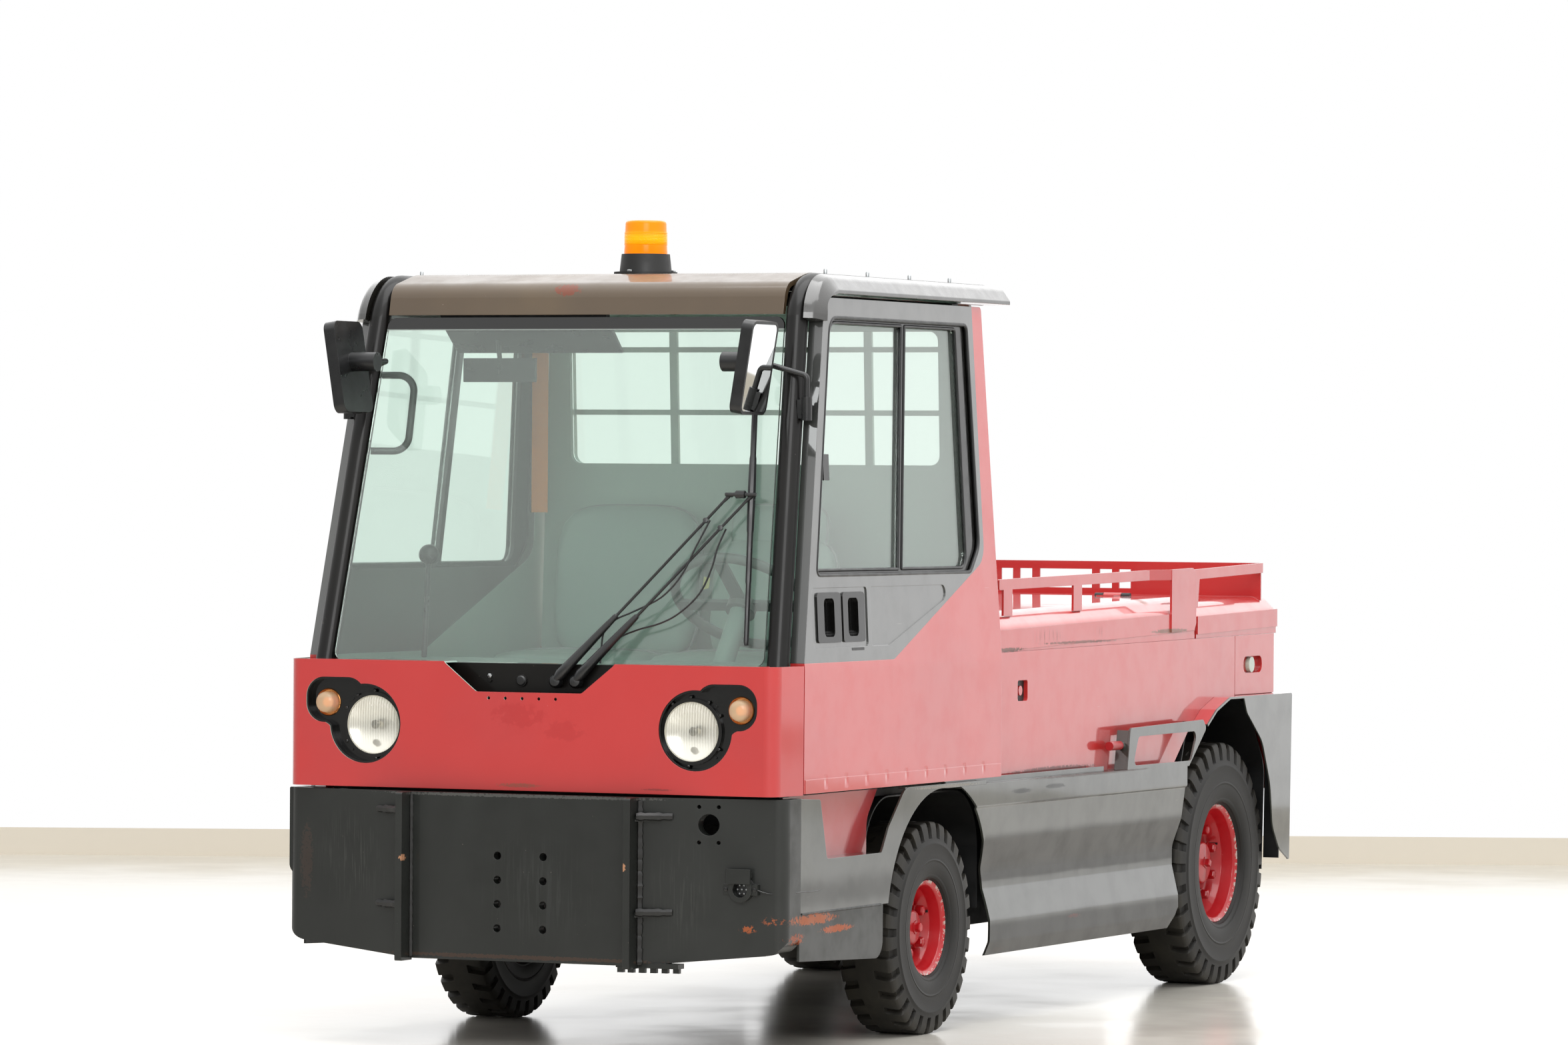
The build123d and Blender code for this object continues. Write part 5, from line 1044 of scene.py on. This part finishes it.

# %% [markdown]
# ## Marker lamps and small bolts
# Each marker lamp is a pale, greenish bull's-eye in its dark pocket. The step pockets have a black sheet at
# their back as painted shade, and the loop brackets carry two bolts.

# %% Marker lamp eyes, painted shade in the step pockets, and bracket bolts
eye = [(0.0195, -0.012), (0.0195, -0.004), (0.016, 0.002), (0.009, 0.0055), (0.0003, 0.0068)]
fit("marker_lamp_eyes", turned(eye, 28), marker_glass,
    places=mirrored((deck_half - 0.010, FA + 2.346, 0.887), (1, 0, 0)))
# Each step pocket gets a black sheet at its back, which is painted shade
for side, _ in SIDES:
    fit(f"pocket_backing_{side}", sheet(box_outline(0.034, 0.040, 0.006), 0.001), liner_black, smooth=False,
        places=[upright(side, (side * (deck_half - 0.012), FA + 0.641, 0.854))])
bolt_places = [place for y in (1.289, 1.322)
               for place in mirrored((door_half - 0.0005, FA + y, 0.7215), (1, 0, 0))]
bolt = [(0.0058, -0.002), (0.0058, 0.0004), (0.0003, 0.0005)]
fit("bracket_bolts", turned(bolt, 12), seal, places=bolt_places)

# %% [markdown]
# ## Seats
# The two seats are foam pads in sewn vinyl, not solids: each pad is a crowned form, fuller in the
# middle than at its piping. They stand for the plain seat blocks.

# %% Seat pads with piping
squareness = 4.5


def reach(*parts):
    """Size of a direction measured on a rounded box, which is a sphere at squareness 2."""
    return sum(abs(part) ** squareness for part in parts) ** (1 / squareness)


def pad_form(half, crown=0.12, rows=18):
    """Cushion with half sizes and rounded corners, and a face that swells by crown."""
    points, count = [], 2 * rows
    for i in range(rows + 1):
        tilt = pi * i / rows - pi / 2
        for k in range(count):
            turn = 2 * pi * k / count
            raw = Vector((cos(tilt) * cos(turn), sin(tilt), cos(tilt) * sin(turn)))
            p = raw / reach(*raw)
            swell = 1 + crown * (1 - p.x * p.x) * (1 - p.z * p.z)
            points.append((p.x * half[0], p.y * half[1] * swell, p.z * half[2]))
    return points, turned_over(lattice(rows + 1, count))


def piping(half, count=56):
    """Closed sewn cord round a cushion's widest line."""
    path = []
    for k in range(count):
        c, s = cos(2 * pi * k / count), sin(2 * pi * k / count)
        path.append((c / reach(c, s) * half[0], 0, s / reach(c, s) * half[2]))
    return swept(path, 0.0045, 6, closed=True)


def seat(word, x, y, pads):
    """Seat of several pads; a pad row is name, height above the floor, setback, half sizes and lean."""
    made = []
    for part, z, back, half, lean in pads:
        places = [at(x, y + back, z) @ Matrix.Rotation(radians(lean), 4, "X")]
        made.append(fit(f"{word}_seat_{part}", pad_form(half), seat_vinyl, places=places))
        fit(f"{word}_seat_{part}_piping", piping(half), seat_piping, places=places)
    return made


passenger_x, driver_x = -0.315, 0.145
passenger_pads = seat("passenger", passenger_x, FA + 0.02, (
    ("cushion", 0.910, -0.02, (0.215, 0.235, 0.048), 0), ("back", 1.125, 0.205, (0.205, 0.045, 0.205), -7)))
seat("driver", driver_x, FA, (
    ("cushion", 0.915, -0.05, (0.205, 0.225, 0.046), 0), ("back", 1.085, 0.130, (0.168, 0.048, 0.165), -9),
    ("headrest", 1.272, 0.165, (0.128, 0.040, 0.062), -7)))
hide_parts("seats")
seat_box = sheet([(-0.19, -0.20), (0.19, -0.20), (0.19, 0.20), (-0.19, 0.20)], 0.218)
fit("seat_boxes", seat_box, dash_plastic, smooth=False,
    places=[at(passenger_x, FA, 0.6305), at(driver_x, FA - 0.05, 0.6305)])
strap = sheet([(-0.0235, 0), (0.0235, 0), (0.0235, 0.0015), (-0.0235, 0.0015)], 0.46)
fit("passenger_seat_belt", strap, orange_web, places=[at(-0.570, FA + 0.21, 1.31)], smooth=False)
fit("seat_tag", sheet([(0, 0), (0.018, 0.004), (0.022, 0.03), (0.004, 0.034)], 0.001), yellow_tag,
    places=[at(-0.035, FA + 0.08, 1.115) @ Matrix.Rotation(radians(90), 4, "X")], smooth=False)

# %% [markdown]
# ## Hall
# A pale, glossy floor ends at a white wall some 8 metres behind the tractor, with a beige skirting
# along its foot. The surround is full white for the camera and for glass. For diffuse light it is
# lower, so colours render as written. Gloss sees a brighter hall behind the tractor than in front
# of it, as in the photograph.

# %% Floor and skirting
floor_paint = Finish("pale polished floor", "#DEDBD4", 0.18)
blotches = floor_paint.step(floor_paint.noise(900, 4), 0.35, 0.7)
floor_paint.put("Base Color", floor_paint.mix(blotches, "#EEEAE0", "#E9E4D9"))
floor_paint.put("Roughness", floor_paint.step(floor_paint.noise(500), 0.35, 0.7, 0.14, 0.20))
skirting_paint = Finish("beige skirting", "#E6DECF", 0.5)
view_turn = radians(24.33)
ahead = Vector((-sin(view_turn), cos(view_turn), 0))
half_hall = Vector((cos(view_turn), sin(view_turn), 0)) * 40
eye_point = Vector((7.692, FA - 16.505, 0))
hall_front = ahead * 12
wall_foot = eye_point + ahead * 26.15
floor = plain_mesh("floor", [eye_point - half_hall - hall_front, eye_point + half_hall - hall_front,
                             wall_foot + half_hall, wall_foot - half_hall], [(0, 1, 2, 3)], floor_paint)
skirting_top = Vector((0, 0, 0.10))
skirting = plain_mesh("skirting", [
    wall_foot - half_hall, wall_foot + half_hall, wall_foot + half_hall + skirting_top,
    wall_foot - half_hall + skirting_top], [(0, 1, 2, 3)], skirting_paint)

# %% Surround
world = bpy.data.worlds.new("white surround")
bpy.context.scene.world = world
world.use_nodes = True
sky = world.node_tree
rays = add(sky, "LightPath").outputs
seen = add(sky, "Math", {0: rays["Is Camera Ray"], 1: rays["Is Transmission Ray"]},
           operation="MAXIMUM").outputs[0]
direction = add(sky, "TexCoord").outputs["Generated"]
toward_wall = add(sky, "VectorMath", {0: direction, 1: (0.45, 0.89, 0.0)},
                  operation="DOT_PRODUCT").outputs["Value"]
hall = add(sky, "MapRange", {"Value": toward_wall, "From Min": -1.0, "From Max": 1.0,
                             "To Min": 0.5, "To Max": 1.5}).outputs["Result"]
height = add(sky, "SeparateXYZ", {0: direction}).outputs["Z"]
ceiling = add(sky, "MapRange", {"Value": height, "From Min": 0.10, "From Max": 0.50,
                                "To Min": 0.0, "To Max": 1.0},
              interpolation_type="SMOOTHSTEP").outputs["Result"]
hall = add(sky, "Math", {0: hall, 1: ceiling}, operation="ADD").outputs[0]
gloss = add(sky, "Mix", {"Factor": rays["Is Glossy Ray"], 2: 0.62, 3: hall}, data_type="FLOAT").outputs[0]
strength = add(sky, "Mix", {"Factor": seen, 2: gloss, 3: 1.0}, data_type="FLOAT").outputs[0]
background = sky.nodes["Background"].inputs
background["Color"].default_value = (1, 1, 1, 1)
sky.links.new(strength, background["Strength"])

# %% Lamps


def softbox(name, place, target, size, watts):
    """Square area lamp aimed at a point; it isn't part of the object."""
    lamp = bpy.data.lights.new(name, "AREA")
    lamp.size = size
    lamp.energy = watts
    obj = bpy.data.objects.new(name, lamp)
    obj.location = place
    obj.rotation_euler = (Vector(target) - Vector(place)).to_track_quat("-Z", "Y").to_euler()
    bpy.context.scene.collection.objects.link(obj)


softbox("ceiling softbox", (1.5, -1.5, 7.0), (0, 0, 0.5), 6.0, 420)
softbox("front softbox", (4.0, -9.0, 4.5), (0, -0.5, 0.9), 4.0, 300)

# %% [markdown]
# ## Camera
# The photograph was taken with a long lens from about 18 metres, a little above the bonnet.
# Height, turn and focal length were solved from the vehicle's own measured points.

# %% Camera at the photograph's place
focal_length, photo_width = 10640, 2352  # both in pixels
tilt_down, roll = 0.34, 0.40
eye_height = 1.399
view = bpy.data.cameras.new("long lens")
view.sensor_width = 36.0
view.lens = 36.0 * focal_length / photo_width
view.clip_end = 200
camera = bpy.data.objects.new("camera", view)
turn = Matrix.Rotation(view_turn, 3, "Z") @ Matrix.Rotation(radians(90 - tilt_down), 3, "X")
turn = turn @ Matrix.Rotation(radians(roll), 3, "Z")
camera.rotation_euler = turn.to_euler()
camera.location = (eye_point.x, eye_point.y, eye_height)
bpy.context.scene.collection.objects.link(camera)
bpy.context.scene.camera = camera
bpy.context.scene.view_settings.view_transform = "Standard"
print("camera at", [round(v, 3) for v in camera.location])
